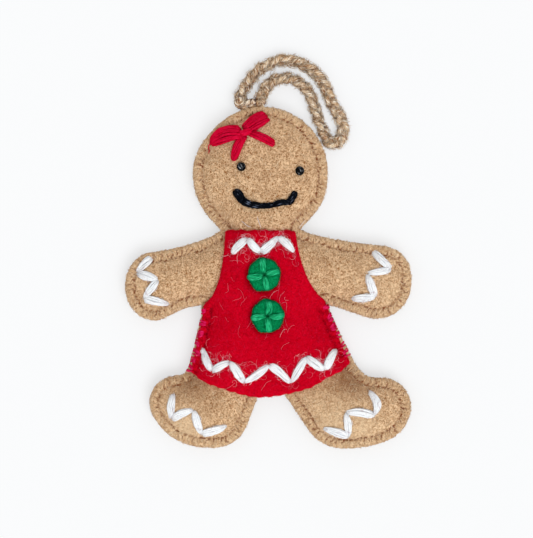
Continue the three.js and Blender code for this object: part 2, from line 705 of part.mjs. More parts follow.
// Edge stitching, each stretch given anticlockwise by its ends on the outline
const [leftRoot, rightRoot] = LOOP_ROOTS;
const clearOfDress = (spot) => {
  return !isInside(dressEdge, spot) && distanceToRing(dressEdge, spot) > 2 * GAP;
};
const feltStitching = (from, to) => {
  return edgeStitching(from, to, EDGE_STITCH_PITCH, overFront, clearOfDress);
};
const dressStitching = (from, to) => {
  return edgeStitching(from, to, DRESS_STITCH_PITCH, overDress, () => true);
};
const besideRight = [rightRoot[0] + CLEAR_OF_ROOTS, rightRoot[1]];
const besideLeft = [leftRoot[0] - CLEAR_OF_ROOTS, leftRoot[1]];
add('edging_right', feltStitching([23.6, -9.9], besideRight), TAN_YARN);
add('edging_left', feltStitching(besideLeft, [-25.2, -9.6]), TAN_YARN);
add('edging_lower', feltStitching([-27.4, -32.4], [30.6, -31.6]), TAN_YARN);
add('dress_seam_left', dressStitching([-21.6, -10.6], [-25.9, -28.6]), PINK_RED_THREAD);
add('dress_seam_right', dressStitching([27.2, -26.0], [20.7, -11.4]), PINK_RED_THREAD);

// Dress and what is sewn on it
add('dress_panel', sheetSolid(dressPattern, dressBottom, dressTop), RED_FELT);
add('neckline_zigzag', stitchRow(NECKLINE, ZIGZAG_YARN_WIDTH, overDress), WHITE_YARN);
add('hem_zigzag', stitchRow(HEM, ZIGZAG_YARN_WIDTH, overDress), WHITE_YARN);

function addButton(name, centre, arms) {
  const pattern = patternPiece(circleRing(centre, BUTTON_RADIUS, 20), [], 0.8 * BUTTON_RADIUS);
  const underside = (x, y) => overDress(x, y) + BUTTON_GAP;
  const topside = (x, y) => underside(x, y) + BUTTON_THICKNESS;
  add(name, sheetSolid(pattern, underside, topside), GREEN_FELT);
  const facets = facetHeight(pattern, topside, 0);
  const surface = (x, y) => Math.max(topside(x, y), facets(x, y));
  add(`${name}_stitches`, crossStitch(centre, arms, surface), GREEN_YARN);
}
addButton('button_upper', UPPER_BUTTON, [[-0.6, 5.2], [-5.2, -0.7], [4.9, 1.2], [1.2, -4.9]]);
addButton('button_lower', LOWER_BUTTON, [[-0.1, 4.9], [-5.3, -0.7], [5.1, 0.4], [0.5, -5.2]]);

// Hands and feet
add('hand_zigzag_left', stitchRow(LEFT_HAND_ZIGZAG, ZIGZAG_YARN_WIDTH, overFront), WHITE_YARN);
add('hand_zigzag_right', stitchRow(RIGHT_HAND_ZIGZAG, ZIGZAG_YARN_WIDTH, overFront), WHITE_YARN);
add('foot_zigzag_left', stitchRow(LEFT_FOOT_ZIGZAG, ZIGZAG_YARN_WIDTH, overFront), WHITE_YARN);
add('foot_zigzag_right', stitchRow(RIGHT_FOOT_ZIGZAG, ZIGZAG_YARN_WIDTH, overFront), WHITE_YARN);

// Face
add('eye_left', bead(LEFT_EYE, EYE_WIDTH, EYE_HEIGHT, overFront), BLACK_THREAD);
add('eye_right', bead(RIGHT_EYE, EYE_WIDTH, EYE_HEIGHT, overFront), BLACK_THREAD);
add('mouth', stitchRow(MOUTH, MOUTH_YARN_WIDTH, overFront), BLACK_THREAD);

// Bow: bundles of yarn that lie on the head, narrow at the knot
const bundleSides = 8;
for (const [name, { from, to, width, profile }] of Object.entries(BOW)) {
  add(name, stitch(from, to, width, overFront, bundleSides, profile), RED_YARN);
}
add('bow_knot', bead(BOW_KNOT.at, BOW_KNOT.width, BOW_KNOT.height, overFront), RED_YARN);

// Hanging loop
add('hanging_loop', hangingLoop(), OATMEAL_YARN);
add('loop_tail_left', loopTail(leftRoot, LOOP_ROUTE[0]), OATMEAL_YARN);
add('loop_tail_right', loopTail(rightRoot, LOOP_ROUTE[LOOP_ROUTE.length - 1]), OATMEAL_YARN);

export default ornament;
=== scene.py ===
"""Felt gingerbread woman ornament: the visible pieces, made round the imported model.

Lengths are in millimetres until a mesh is written, which is in metres. The figure lies on its
back on the table, +Z is out of its face and +Y is towards its head.
"""

import logging
import math
from collections.abc import Callable, Sequence
from dataclasses import dataclass, field, replace
from enum import Enum
from functools import partial

import bpy
import numpy as np
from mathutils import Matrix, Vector
from mathutils.geometry import delaunay_2d_cdt

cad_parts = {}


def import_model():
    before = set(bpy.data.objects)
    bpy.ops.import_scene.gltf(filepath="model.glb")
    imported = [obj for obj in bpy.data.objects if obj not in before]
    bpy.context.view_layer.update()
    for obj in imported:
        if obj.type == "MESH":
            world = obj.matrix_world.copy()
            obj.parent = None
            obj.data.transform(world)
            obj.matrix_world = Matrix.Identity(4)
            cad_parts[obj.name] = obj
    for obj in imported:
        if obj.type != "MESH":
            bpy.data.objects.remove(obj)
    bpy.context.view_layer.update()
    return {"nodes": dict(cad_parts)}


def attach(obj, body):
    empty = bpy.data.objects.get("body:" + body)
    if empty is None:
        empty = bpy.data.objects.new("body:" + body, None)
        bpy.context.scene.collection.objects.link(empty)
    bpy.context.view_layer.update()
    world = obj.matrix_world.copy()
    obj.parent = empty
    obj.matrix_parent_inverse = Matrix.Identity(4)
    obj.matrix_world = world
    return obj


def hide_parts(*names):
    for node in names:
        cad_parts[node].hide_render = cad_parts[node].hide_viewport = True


LOG = logging.getLogger("ornament")
MM = 0.001
SEED = 20417
BODY = "root"

PHOTO_HEIGHT = 538
PIXEL_SIZE = 0.33
VIEW_CENTRE = (-0.33, 2.8)
VIEW_LEVEL = 6.0
LENS = 100.0
SENSOR = 36.0
ROOM_LIGHT = 0.68
WINDOW_LIGHT = 1.35
WINDOW_SPREAD = 40
WINDOW_TURN = (28, 19)
TABLE_REACH = 4.0

MIDDLE = 0.5
FELT_ROUGHNESS = 0.92
HAIR_SETS = ((0.3, 1.5), (1.9, 1.15), (3.7, 1.9))
GAP_SETS = ((2.6, 1.3), (5.1, 1.7))
SHEEN_ROUGHNESS = 0.6
SLUB_GRAIN = 1.4
STEEP_SPAN = 0.7
PACKING = 0.56
FIBRE_STRETCH = 0.12
FIBRE_WIDTH = 0.045
FIBRE_TURNS = (0.5, 0.35)

RIM_TOP = 5.55
RIM_UNDERSIDE = 2.0
FELT_THICKNESS = 1.6
FILL_GAP = 0.4
REST_SOFTNESS = 0.35
EDGE_LEVELS = ((0.22, 0.8), (0.5, 1.0), (0.78, 0.8))
EDGE_BULGE = 0.3
PANEL_ROWS = (0.25, 0.6, 1.05, 1.55, 2.05, 2.5, 2.95, 3.5)
SHARP_TURN = 0.9
WAVES = 14
CHUNK = 2000
TINY = 1e-12
FRONT_PUFF = 5.6
BACK_PUFF = 3.8
FILM_CELL = 0.8
FILM_PASSES = 3200
PUFF_SOFTNESS = 40.0
PUFF_SHAPE = 0.7
SEAM_WIDTH = 3.4
EDGE_GROWTH = 0.75
CLOTH_SCALE = 10.0
CLOTH_FRAMES = 16
CLOTH_SHARE = 0.4
CLOTH_BLUR = 1.3
CLOTH_PRESSURE = 4.0
CLOTH_TENSION = 80.0
CLOTH_BENDING = 2.0
DRESS_GROWTH = 0.3
DRESS_THICKNESS = 1.3
DRESS_SOFTENING = 40
GROUND_CELL = 0.5
BUTTON_THICKNESS = 1.4
BUTTON_RADIUS = 5.3
CORD_DIAMETER = 4.2
TABLE_GAP = 0.02
EYE_RADIUS = 1.5
EYE_THREAD_RADIUS = 0.42
EYE_RISE = 0.75
KNOT_LAPS = 9
KNOT_TURNS = 3.21
BOW_RISE = 0.6
HEM_STRAYS = 28
NECKLINE_STRAYS = 46
DRESS_STRAYS = 60

LEFT_EYE = (-8.6, 36.3)
RIGHT_EYE = (10.6, 35.0)
SMILE = [(-10.4, 28.2), (-8.2, 25.1), (-5.6, 23.8), (-2.4, 23.4), (2.1, 23.8), (6.9, 24.5), (9.1, 27.8)]
CHIN_HAIRS = [(-8.7, 18.7, -0.73, 4.2), (-3.3, 20.2, -1.5, 4.2), (12.4, 19.0, -2.2, 3.4)]
SMILE_WIDTHS = (3.5, 3.1, 2.7, 2.4, 2.5, 2.8)
HEM_SAG = [(-21.0, 1.0, 5.0), (20.0, -1.1, 4.0)]
NECKLINE = [(-11.7, 7.8), (-6.6, 12.9), (-2.1, 8.1), (3.3, 13.4), (8.8, 8.4)]
HEM = [(-21.5, -23.1), (-18.4, -30.7), (-12.4, -27.4), (-7.7, -34.5), (0.7, -28.5), (7.7, -34.8),
       (12.6, -25.9), (18.9, -30.3), (22.6, -23.3)]
LEFT_HAND = [(-38.3, 6.6), (-43.2, 1.6), (-36.1, -0.7), (-40.9, -6.9), (-32.3, -8.8)]
RIGHT_HAND = [(34.7, 8.7), (40.9, 2.8), (32.7, 1.3), (35.6, -6.4), (27.7, -7.0)]
LEFT_FOOT = [(-30.9, -38.2), (-31.7, -46.7), (-24.4, -43.4), (-21.9, -51.6), (-13.5, -48.8)]
RIGHT_FOOT = [(33.6, -37.4), (35.3, -45.4), (25.7, -44.4), (26.9, -52.6), (18.3, -49.9)]
BOW_KNOT = (-7.3, 47.7)
BOW_END = [(-18.6, 44.4), (-19.3, 43.6), (-19.5, 42.7), (-19.2, 41.9), (-19.4, 41.0)]
BOW_END_RADII = (0.2, 0.2, 0.18, 0.15, 0.1)
UPPER_BUTTON = (-1.1, 0.95)
UPPER_CROSS = [(-1.7, 6.3), (-6.6, 0.0), (4.0, 1.9), (0.0, -4.2)]
LOWER_BUTTON = (0.05, -12.5)
LOWER_CROSS = [(0.2, -7.6), (-5.4, -13.3), (5.5, -12.1), (0.6, -17.8)]
CORD_ROUTE = [(-7.2, 57.2), (-8.8, 58.9), (-8.3, 61.6), (-5.6, 65.8), (-2.5, 69.1), (1.4, 71.1),
              (5.5, 72.2), (9.7, 71.6), (13.8, 69.5), (17.0, 66.7), (19.4, 62.9), (20.9, 59.0),
              (22.7, 55.6), (24.6, 52.4), (25.2, 49.3), (24.5, 46.3), (22.4, 44.6), (20.3, 45.3),
              (19.0, 47.8), (17.8, 50.6), (16.7, 53.8), (15.5, 57.6), (14.1, 61.1), (11.7, 64.3),
              (8.6, 66.0), (5.5, 66.4), (2.5, 65.8), (0.0, 63.9), (-1.7, 60.8), (-2.5, 57.8)]
CORD_END_HEIGHTS = (3.775, 2.9, 2.25)
CORD_ROOTS = [(-7.0, 55.3), (-2.3, 55.5)]
CORD_KNOT = [(-9.0, 59.6), (-9.7, 58.0), (-8.2, 57.1), (-6.2, 57.4), (-4.2, 57.9)]
CORD_KNOT_HEIGHT = 4.1
TAIL_RADIUS = 0.55
TAIL_SPACING = 0.9
# Painted shade: soft dark patches on the feet below the hem, under the chin and on the head's unlit side.
PAINTED_SHADE_PATCHES = [(28.0, -32.5, 8.0, 0.9), (-27.0, -31.5, 7.5, 0.65), (-17.0, 17.5, 5.0, 0.4),
                (12.5, 17.0, 5.0, 0.35), (-22.0, 43.0, 7.0, 0.25), (17.0, -36.0, 6.0, 0.3),
                (-20.0, -38.0, 9.0, 0.3)]
# Painted shade on the dress, between and below the buttons and towards its sides.
DRESS_SHADES = [(-0.5, -5.8, 5.0, 0.4), (2.0, -21.0, 7.0, 0.2), (-14.0, 3.0, 5.0, 0.15),
                (20.0, -20.0, 6.0, 0.2)]
# Painted light: soft pale patches on the lower and right-hand parts, where the lamp lights the felt more.
PAINTED_LIGHT_PATCHES = [(30.0, -50.0, 9.0, 0.55), (18.0, -52.0, 9.0, 0.45), (-29.0, -51.0, 8.0, 0.85),
                (44.0, -6.0, 8.0, 0.3), (-42.0, -6.0, 8.0, 0.1), (26.0, 36.0, 6.0, 0.5),
                (33.0, 4.0, 8.0, 0.15), (17.0, -42.0, 7.0, 0.15)]

Socket = bpy.types.NodeSocket
Colour = tuple[float, float, float, float]
Ground = Callable[[np.ndarray], np.ndarray]
Spot = tuple[float, float]
Pairs = Sequence[tuple[float, float]]
Patch = tuple[float, float, float, float]


def paint(red: float, green: float, blue: float) -> Colour:
    """Give the linear colour of an 8-bit screen colour.

    Args:
        red: Red from 0 to 255.
        green: Green from 0 to 255.
        blue: Blue from 0 to 255.

    Returns:
        The colour as four linear values.
    """
    shares = [value / 255 for value in (red, green, blue)]
    linear = [s / 12.92 if s <= 0.04045 else ((s + 0.055) / 1.055) ** 2.4 for s in shares]
    return (linear[0], linear[1], linear[2], 1.0)


class Wiring:
    """A node tree under construction, with short ways to add and join its nodes."""

    tree: bpy.types.NodeTree

    def add(
        self, kind: str, feeds: dict[str | int, object] | None = None, **settings: object
    ) -> bpy.types.Node:
        """Add a node.

        Args:
            kind: The node's kind.
            feeds: What feeds its inputs, by their names or numbers.
            settings: Its settings by name.

        Returns:
            The node.
        """
        node = self.tree.nodes.new(kind)
        for name, value in settings.items():
            setattr(node, name, value)
        for name, source in (feeds or {}).items():
            self.join(source, node.inputs[name])
        return node

    def join(self, source: object, target: Socket) -> None:
        """Feed a target from a socket or a node's first output, or set it to a plain value."""
        if isinstance(source, bpy.types.Node):
            source = source.outputs[0]
        if isinstance(source, Socket):
            self.tree.links.new(source, target)
        else:
            target.default_value = source

    def math(self, operation: str, first: object, second: object = 0.0) -> Socket:
        """Work out a math node's operation on one or two values."""
        return self.add("ShaderNodeMath", {0: first, 1: second}, operation=operation).outputs[0]

    def times(self, first: object, second: object) -> Socket:
        """Multiply two values."""
        return self.math("MULTIPLY", first, second)

    def plus(self, first: object, second: object) -> Socket:
        """Add two values."""
        return self.math("ADD", first, second)

    def minus(self, first: object, second: object) -> Socket:
        """Take the second value from the first."""
        return self.math("SUBTRACT", first, second)

    def larger(self, first: object, second: object) -> Socket:
        """Give the larger of two values."""
        return self.math("MAXIMUM", first, second)

    def unsigned(self, value: object) -> Socket:
        """Give a value without its sign."""
        return self.math("ABSOLUTE", value)


class Shader(Wiring):
    """A material under construction."""

    def __init__(self, name: str, roughness: float, sheen: float, shine: float) -> None:
        """Start a material with one principled surface.

        Args:
            name: The material's name.
            roughness: The surface's roughness.
            sheen: How much light the fibres catch at a glancing angle.
            shine: How strongly the surface mirrors.
        """
        self.material = bpy.data.materials.new(name)
        self.material.use_nodes = True
        self.tree = self.material.node_tree
        self.tree.nodes.clear()
        self.surface = self.add("ShaderNodeBsdfPrincipled", {
            "Roughness": roughness, "Specular IOR Level": shine, "Sheen Weight": sheen,
            "Sheen Roughness": SHEEN_ROUGHNESS})
        self.output = self.add("ShaderNodeOutputMaterial", {0: self.surface})

    def place(self) -> Socket:
        """Give the point's place on its own object."""
        return self.add("ShaderNodeTexCoord").outputs["Object"]

    def stored(self, name: str, output: str = "Fac") -> Socket:
        """Give a value stored on the mesh."""
        return self.add("ShaderNodeAttribute", attribute_name=name).outputs[output]

    def turned(self, where: Socket, turn: Sequence[float]) -> Socket:
        """Turn a place about each axis by so many radians."""
        feeds = {"Vector": where, "Rotation": turn}
        return self.add("ShaderNodeMapping", feeds, vector_type="TEXTURE").outputs[0]

    def noise(self, where: Socket, grain: float, detail: float = 2.0, twist: float = 0.0) -> Socket:
        """Give a soft random value from 0 to 1.

        Args:
            where: The place to read it at.
            grain: The size of one grain in the units of the place.
            detail: How many finer layers are added.
            twist: How much the grains are bent.

        Returns:
            The value.
        """
        feeds = {"Vector": where, "Scale": 1.0 / grain, "Detail": detail, "Distortion": twist}
        return self.add("ShaderNodeTexNoise", feeds).outputs["Fac"]

    def curls(self, where: Socket, grain: float, width: float) -> Socket:
        """Draw thin curly lines, as of wool fibres.

        Args:
            where: The place to read them at.
            grain: How far apart the lines lie.
            width: Their width as a share of the noise's range.

        Returns:
            1 on a line and 0 off it.
        """
        level = self.noise(where, grain, detail=0.6, twist=0.7)
        return self.step(self.unsigned(self.minus(level, MIDDLE)), width, 0.0)

    def ramp(self, value: Socket, stops: Sequence[tuple[float, Colour]]) -> Socket:
        """Turn a value into a colour by stops.

        Args:
            value: The value.
            stops: Each stop's position and colour.

        Returns:
            The colour.
        """
        node = self.add("ShaderNodeValToRGB", {0: value})
        band = node.color_ramp.elements
        band[0].position, band[0].color = stops[0]
        band[1].position, band[1].color = stops[-1]
        for position, colour in stops[1:-1]:
            band.new(position).color = colour
        return node.outputs[0]

    def step(self, value: Socket, low: float, high: float) -> Socket:
        """Rise smoothly from 0 at the low value to 1 at the high one."""
        feeds = {"Value": value, "From Min": low, "From Max": high}
        return self.add("ShaderNodeMapRange", feeds, interpolation_type="SMOOTHSTEP").outputs[0]

    def blend(self, share: object, under: object, over: object) -> Socket:
        """Mix one colour over another by a share from 0 to 1."""
        feeds = {"Factor": share, 6: under, 7: over}
        return self.add("ShaderNodeMix", feeds, data_type="RGBA").outputs[2]

    def finish(self, colour: object, height: Socket, depth: float, strength: float) -> bpy.types.Material:
        """Set the colour and the fine relief, and give the material.

        Args:
            colour: The surface's colour.
            height: The relief from 0 to 1.
            depth: The relief's depth in millimetres.
            strength: How strongly the relief shows.

        Returns:
            The finished material.
        """
        feeds = {"Strength": strength, "Distance": depth * MM, "Height": height}
        self.join(self.add("ShaderNodeBump", feeds), self.surface.inputs["Normal"])
        self.join(colour, self.surface.inputs["Base Color"])
        return self.material


@dataclass(frozen=True)
class FeltFinish:
    """Matted wool felt: curly fibres pale and dark over a crumb, with specks and slow patches, and with
    painted shade and painted light read from the mesh.
    """

    name: str
    deep: Colour
    body: Colour
    pale: Colour
    speck_and_shade: Colour
    worn: Colour
    # The seam colour is painted shadow in the seam's grooves and holes.
    seam: Colour
    crumb: float = 0.62
    patch: float = 9.0
    speck_share: float = 0.8
    hair_share: float = 0.8
    hair_width: float = 0.068
    gap_share: float = 0.3
    gap_width: float = 0.09
    patch_share: float = 0.3
    pit_share: float = 0.8
    seam_shadow_share: float = 0.8
    seam_depth: float = 0.35
    threads_each: float = 1.5
    sway: float = 1.4
    sway_grain: float = 1.1
    bend: float = 0.14
    bend_pace: float = 10.0
    hook_at: float = 0.47
    groove_fade: float = 0.45
    least_firm: float = 0.4
    firm_grain: float = 1.7
    fringe: float = 0.4
    edging: float = 0.2
    edge_share: float = 1.0
    relief: float = 0.22
    sheen: float = 0.1
    shine: float = 0.1

    def threads(self, shader: Shader, place: Socket, sets: Pairs, width: float) -> Socket:
        """Lay several sets of curly lines over each other.

        Args:
            shader: The material under construction.
            place: The point's place.
            sets: Each set's turn and how far apart its lines lie, in crumbs.
            width: The lines' width as a share of the noise's range.

        Returns:
            1 on a line and 0 off all of them.
        """
        lines = 0.0
        for turn, grain in sets:
            turned = shader.turned(place, (0.4, 0.2, turn))
            lines = shader.larger(lines, shader.curls(turned, grain * self.crumb * MM, width))
        return lines

    def sewing(self, shader: Shader, place: Socket) -> tuple[Socket, Socket]:
        """Draw the seam round the edge as painted shadow: at each stitch a dark groove, with a dark hook
        and hole at its end.

        Args:
            shader: The material under construction.
            place: The point's place.

        Returns:
            How deep in the seam's painted shadow a point lies, and how much of the pale edge band it
            shows, which is partly a painted highlight.
        """
        band = shader.stored("band")
        waver = shader.minus(shader.noise(place, self.sway_grain * MM), MIDDLE)
        bend = shader.times(shader.math("SINE", shader.times(band, self.bend_pace)), self.bend)
        count = shader.times(shader.stored("stitch"), self.threads_each)
        shift = shader.plus(shader.times(waver, self.sway), bend)
        share = shader.math("FRACT", shader.plus(count, shift))
        near = shader.minus(MIDDLE, shader.unsigned(shader.minus(share, MIDDLE)))
        inner = shader.unsigned(shader.minus(band, self.hook_at))
        groove = shader.times(shader.step(near, 0.24, 0.08), shader.step(band, 0.42, 0.5))
        fading = shader.times(shader.step(band, 0.62, 0.98), self.groove_fade)
        groove = shader.times(groove, shader.minus(1.0, fading))
        hook = shader.times(shader.step(inner, 0.11, 0.03), shader.step(share, 0.66, 0.44))
        firm = shader.step(shader.noise(place, self.firm_grain * MM, 1.0), 0.36, 0.62)
        firm = shader.plus(shader.times(firm, 1.0 - self.least_firm), self.least_firm)
        seam = shader.times(shader.larger(groove, hook), firm)
        fringe = shader.times(shader.step(band, 0.84, 1.0), self.fringe)
        edging = shader.plus(shader.times(shader.step(band, 0.46, 0.6), self.edging), fringe)
        return seam, shader.times(edging, self.edge_share)

    def make(self) -> bpy.types.Material:
        """Build the felt's material."""
        shader = Shader(self.name, FELT_ROUGHNESS, self.sheen, self.shine)
        place = shader.place()
        crumb = shader.noise(place, 0.8 * self.crumb * MM, detail=2.0, twist=1.0)
        fine = shader.noise(place, 0.6 * self.crumb * MM, detail=1.0, twist=0.8)
        patch = shader.noise(place, self.patch * MM, detail=2.0, twist=0.4)
        hairs = self.threads(shader, place, HAIR_SETS, self.hair_width)
        gaps = self.threads(shader, place, GAP_SETS, self.gap_width)
        seam, edging = self.sewing(shader, place)
        colour = shader.ramp(crumb, [(0.36, self.deep), (0.5, self.body), (0.66, self.pale)])
        layers = (
            (shader.times(gaps, self.gap_share * self.hair_share), self.deep),
            (shader.times(shader.step(fine, 0.52, 0.72), self.speck_share), self.speck_and_shade),
            (shader.times(hairs, self.hair_share), self.pale),
            (shader.times(shader.step(patch, 0.5, 0.78), self.patch_share), self.deep),
            # painted shade: dark patches and a darker full middle, in the speck colour
            (shader.stored("shade"), self.speck_and_shade),
            # painted light: pale patches, a paler rim and a pale cut edge
            (shader.stored("worn"), self.worn),
            # pale edge band, partly a painted highlight along the edge
            (edging, self.worn),
            # painted shade in the stitches' holes and along the seam line
            (shader.times(shader.stored("pit"), self.pit_share), self.speck_and_shade),
            # painted shadow in the seam's grooves and at the holes
            (shader.times(seam, self.seam_shadow_share), self.seam),
        )
        for share, over in layers:
            colour = shader.blend(share, colour, over)
        height = shader.plus(shader.times(crumb, 0.55), shader.times(hairs, 0.45))
        height = shader.minus(height, shader.times(seam, self.seam_depth))
        return shader.finish(colour, height, self.relief, 0.8)


@dataclass(frozen=True)
class YarnFinish:
    """Spun yarn: fine fibres that run along each strand and wind round it, with painted shade on steep
    sides and in the gaps between strands.
    """

    name: str
    groove: Colour
    body: Colour
    glint: Colour
    # The gap colour is painted shade between plies and strands.
    gap: Colour
    fibre: float = 0.16
    glint_from: float = 0.5
    fade: float = 0.18
    slub: float = 0.35
    ply_shade: float = 0.6
    steep_from: float = 0.75
    relief: float = 0.07
    roughness: float = 0.8
    sheen: float = 0.1
    shine: float = 0.2

    def make(self) -> bpy.types.Material:
        """Build the yarn's material."""
        shader = Shader(self.name, self.roughness, self.sheen, self.shine)
        grain = shader.stored("strand_grain", "Vector")
        fibres = shader.noise(grain, self.fibre, 2.0, 0.3)
        slubs = shader.noise(shader.place(), SLUB_GRAIN * MM, detail=1.5, twist=0.5)
        stops = [(MIDDLE - self.fade, self.groove), (self.glint_from, self.body),
                 (self.glint_from + self.fade, self.glint)]
        colour = shader.ramp(fibres, stops)
        slow = shader.times(shader.step(slubs, 0.5, 0.75), self.slub)
        colour = shader.blend(slow, colour, self.groove)
        # painted shade: steep sides and the stored strand shade blend towards the gap colour
        steep = shader.step(shader.stored("facing_up"), self.steep_from, self.steep_from - STEEP_SPAN)
        steep = shader.times(steep, self.ply_shade)
        colour = shader.blend(shader.larger(steep, shader.stored("strand_shade")), colour, self.gap)
        return shader.finish(colour, fibres, self.relief, 0.7)


@dataclass(frozen=True)
class FibreFinish:
    """Single loose fibres, each with its own tone between two colours."""

    name: str
    dark: Colour
    body: Colour
    light: Colour
    shine: float = 0.1

    def make(self) -> bpy.types.Material:
        """Build the fibres' material."""
        shader = Shader(self.name, roughness=0.8, sheen=0.0, shine=self.shine)
        tone = shader.stored("fibre_tone")
        colour = shader.ramp(tone, [(0.0, self.dark), (0.45, self.body), (1.0, self.light)])
        grain = shader.noise(shader.place(), 0.2 * MM, 1.0)
        return shader.finish(colour, grain, 0.02, 0.3)


@dataclass(frozen=True)
class TableFinish:
    """The pale paper that the ornament lies on, which the camera sees partly as a lit backdrop."""

    name: str
    colour: Colour
    glow: float = 0.6

    def make(self) -> bpy.types.Material:
        """Build the table's material."""
        shader = Shader(self.name, roughness=0.95, sheen=0.0, shine=0.0)
        material = shader.finish(self.colour, shader.noise(shader.place(), 3 * MM), 0.01, 0.05)
        light = shader.add("ShaderNodeEmission", {"Color": self.colour})
        seen = shader.times(shader.add("ShaderNodeLightPath").outputs["Is Camera Ray"], self.glow)
        mix = shader.add("ShaderNodeMixShader", {0: seen, 1: shader.surface, 2: light})
        shader.join(mix, shader.output.inputs[0])
        return material


TAN_FELT = FeltFinish("tan_felt", deep=paint(142, 88, 40), body=paint(166, 113, 58),
                      pale=paint(253, 216, 173), speck_and_shade=paint(126, 72, 28), worn=paint(238, 208, 168),
                      seam=paint(124, 58, 18), crumb=0.6, speck_share=0.2, hair_share=0.95,
                      seam_shadow_share=0.95)
TAN_YARN = YarnFinish("tan_yarn", groove=paint(176, 122, 78), body=paint(226, 188, 142),
                      glint=paint(246, 222, 184), gap=paint(112, 58, 28))
RED_FELT = FeltFinish("red_felt", deep=paint(188, 0, 20), body=paint(208, 2, 28),
                      pale=paint(220, 8, 44), speck_and_shade=paint(150, 0, 14), worn=paint(228, 60, 84),
                      seam=paint(128, 0, 12), crumb=0.55, speck_share=0.3, hair_share=0.25,
                      seam_shadow_share=0.75, edge_share=0.0, relief=0.1, sheen=0.0, shine=0.0)
MAGENTA_THREAD = YarnFinish("pink_red_thread", groove=paint(186, 0, 52), body=paint(224, 6, 82),
                            glint=paint(242, 60, 126), gap=paint(150, 0, 36), ply_shade=0.3,
                            sheen=0.0, shine=0.05)
WHITE_YARN = YarnFinish("white_yarn", groove=paint(230, 236, 242), body=paint(252, 254, 255),
                        glint=paint(255, 255, 255), gap=paint(190, 198, 208), ply_shade=0.4)
GREEN_FELT = FeltFinish("green_felt", deep=paint(0, 108, 60), body=paint(2, 140, 80),
                        pale=paint(12, 166, 102), speck_and_shade=paint(0, 62, 32), worn=paint(60, 150, 100),
                        seam=paint(0, 70, 36), crumb=0.5, speck_share=0.45, hair_share=0.4,
                        relief=0.12, sheen=0.0, shine=0.02)
GREEN_YARN = YarnFinish("green_yarn", groove=paint(0, 132, 78), body=paint(14, 176, 112),
                        glint=paint(60, 212, 150), gap=paint(0, 78, 44), fibre=0.3, fade=0.12,
                        ply_shade=0.6, sheen=0.0, shine=0.06)
# The black threads' glint colours are painted highlights of the thread.
BLACK_THREAD = YarnFinish("black_thread", groove=paint(1, 2, 6), body=paint(4, 8, 18),
                          glint=paint(116, 126, 148), gap=paint(0, 1, 4), fibre=0.4, glint_from=0.6,
                          ply_shade=0.3, roughness=0.6, sheen=0.0, shine=0.04)
EYE_THREAD = YarnFinish("eye_thread", groove=paint(1, 2, 4), body=paint(5, 8, 12),
                        glint=paint(200, 206, 212), gap=paint(0, 1, 4), fibre=0.3,
                        glint_from=0.6, roughness=0.6, sheen=0.0, shine=0.05)
RED_YARN = YarnFinish("red_yarn", groove=paint(190, 0, 36), body=paint(214, 0, 48),
                      glint=paint(232, 30, 84), gap=paint(140, 0, 24), ply_shade=0.3, sheen=0.0,
                      shine=0.03)
OATMEAL_YARN = YarnFinish("oatmeal_yarn", groove=paint(140, 84, 46), body=paint(238, 206, 162),
                          glint=paint(255, 248, 232), gap=paint(78, 28, 12), fibre=0.4, fade=0.11,
                          slub=0.5, ply_shade=0.9, steep_from=0.86)
FILL_FIBRE = FeltFinish("stuffing", deep=paint(225, 222, 214), body=paint(242, 239, 232),
                        pale=paint(250, 248, 244), speck_and_shade=paint(214, 210, 200), worn=paint(250, 248, 244),
                        seam=paint(214, 210, 200), crumb=1.2)
TAN_FUZZ = FibreFinish("tan_fuzz", paint(186, 132, 84), paint(226, 186, 140), paint(250, 230, 196))
RED_FUZZ = FibreFinish("red_fuzz", paint(180, 0, 20), paint(210, 4, 38), paint(226, 34, 72), 0.0)
GREEN_FUZZ = FibreFinish("green_fuzz", paint(0, 100, 54), paint(8, 142, 84), paint(34, 178, 118), 0.0)
OATMEAL_FUZZ = FibreFinish("oatmeal_fuzz", paint(150, 100, 62), paint(230, 200, 158),
                           paint(252, 244, 228))
WHITE_FUZZ = FibreFinish("white_fuzz", paint(214, 190, 196), paint(240, 232, 234), paint(254, 254, 254))
STRAY_FUZZ = FibreFinish("stray_fuzz", paint(224, 60, 96), paint(238, 130, 154), paint(254, 232, 236))
TABLE = TableFinish("pale_paper", paint(249, 250, 251))


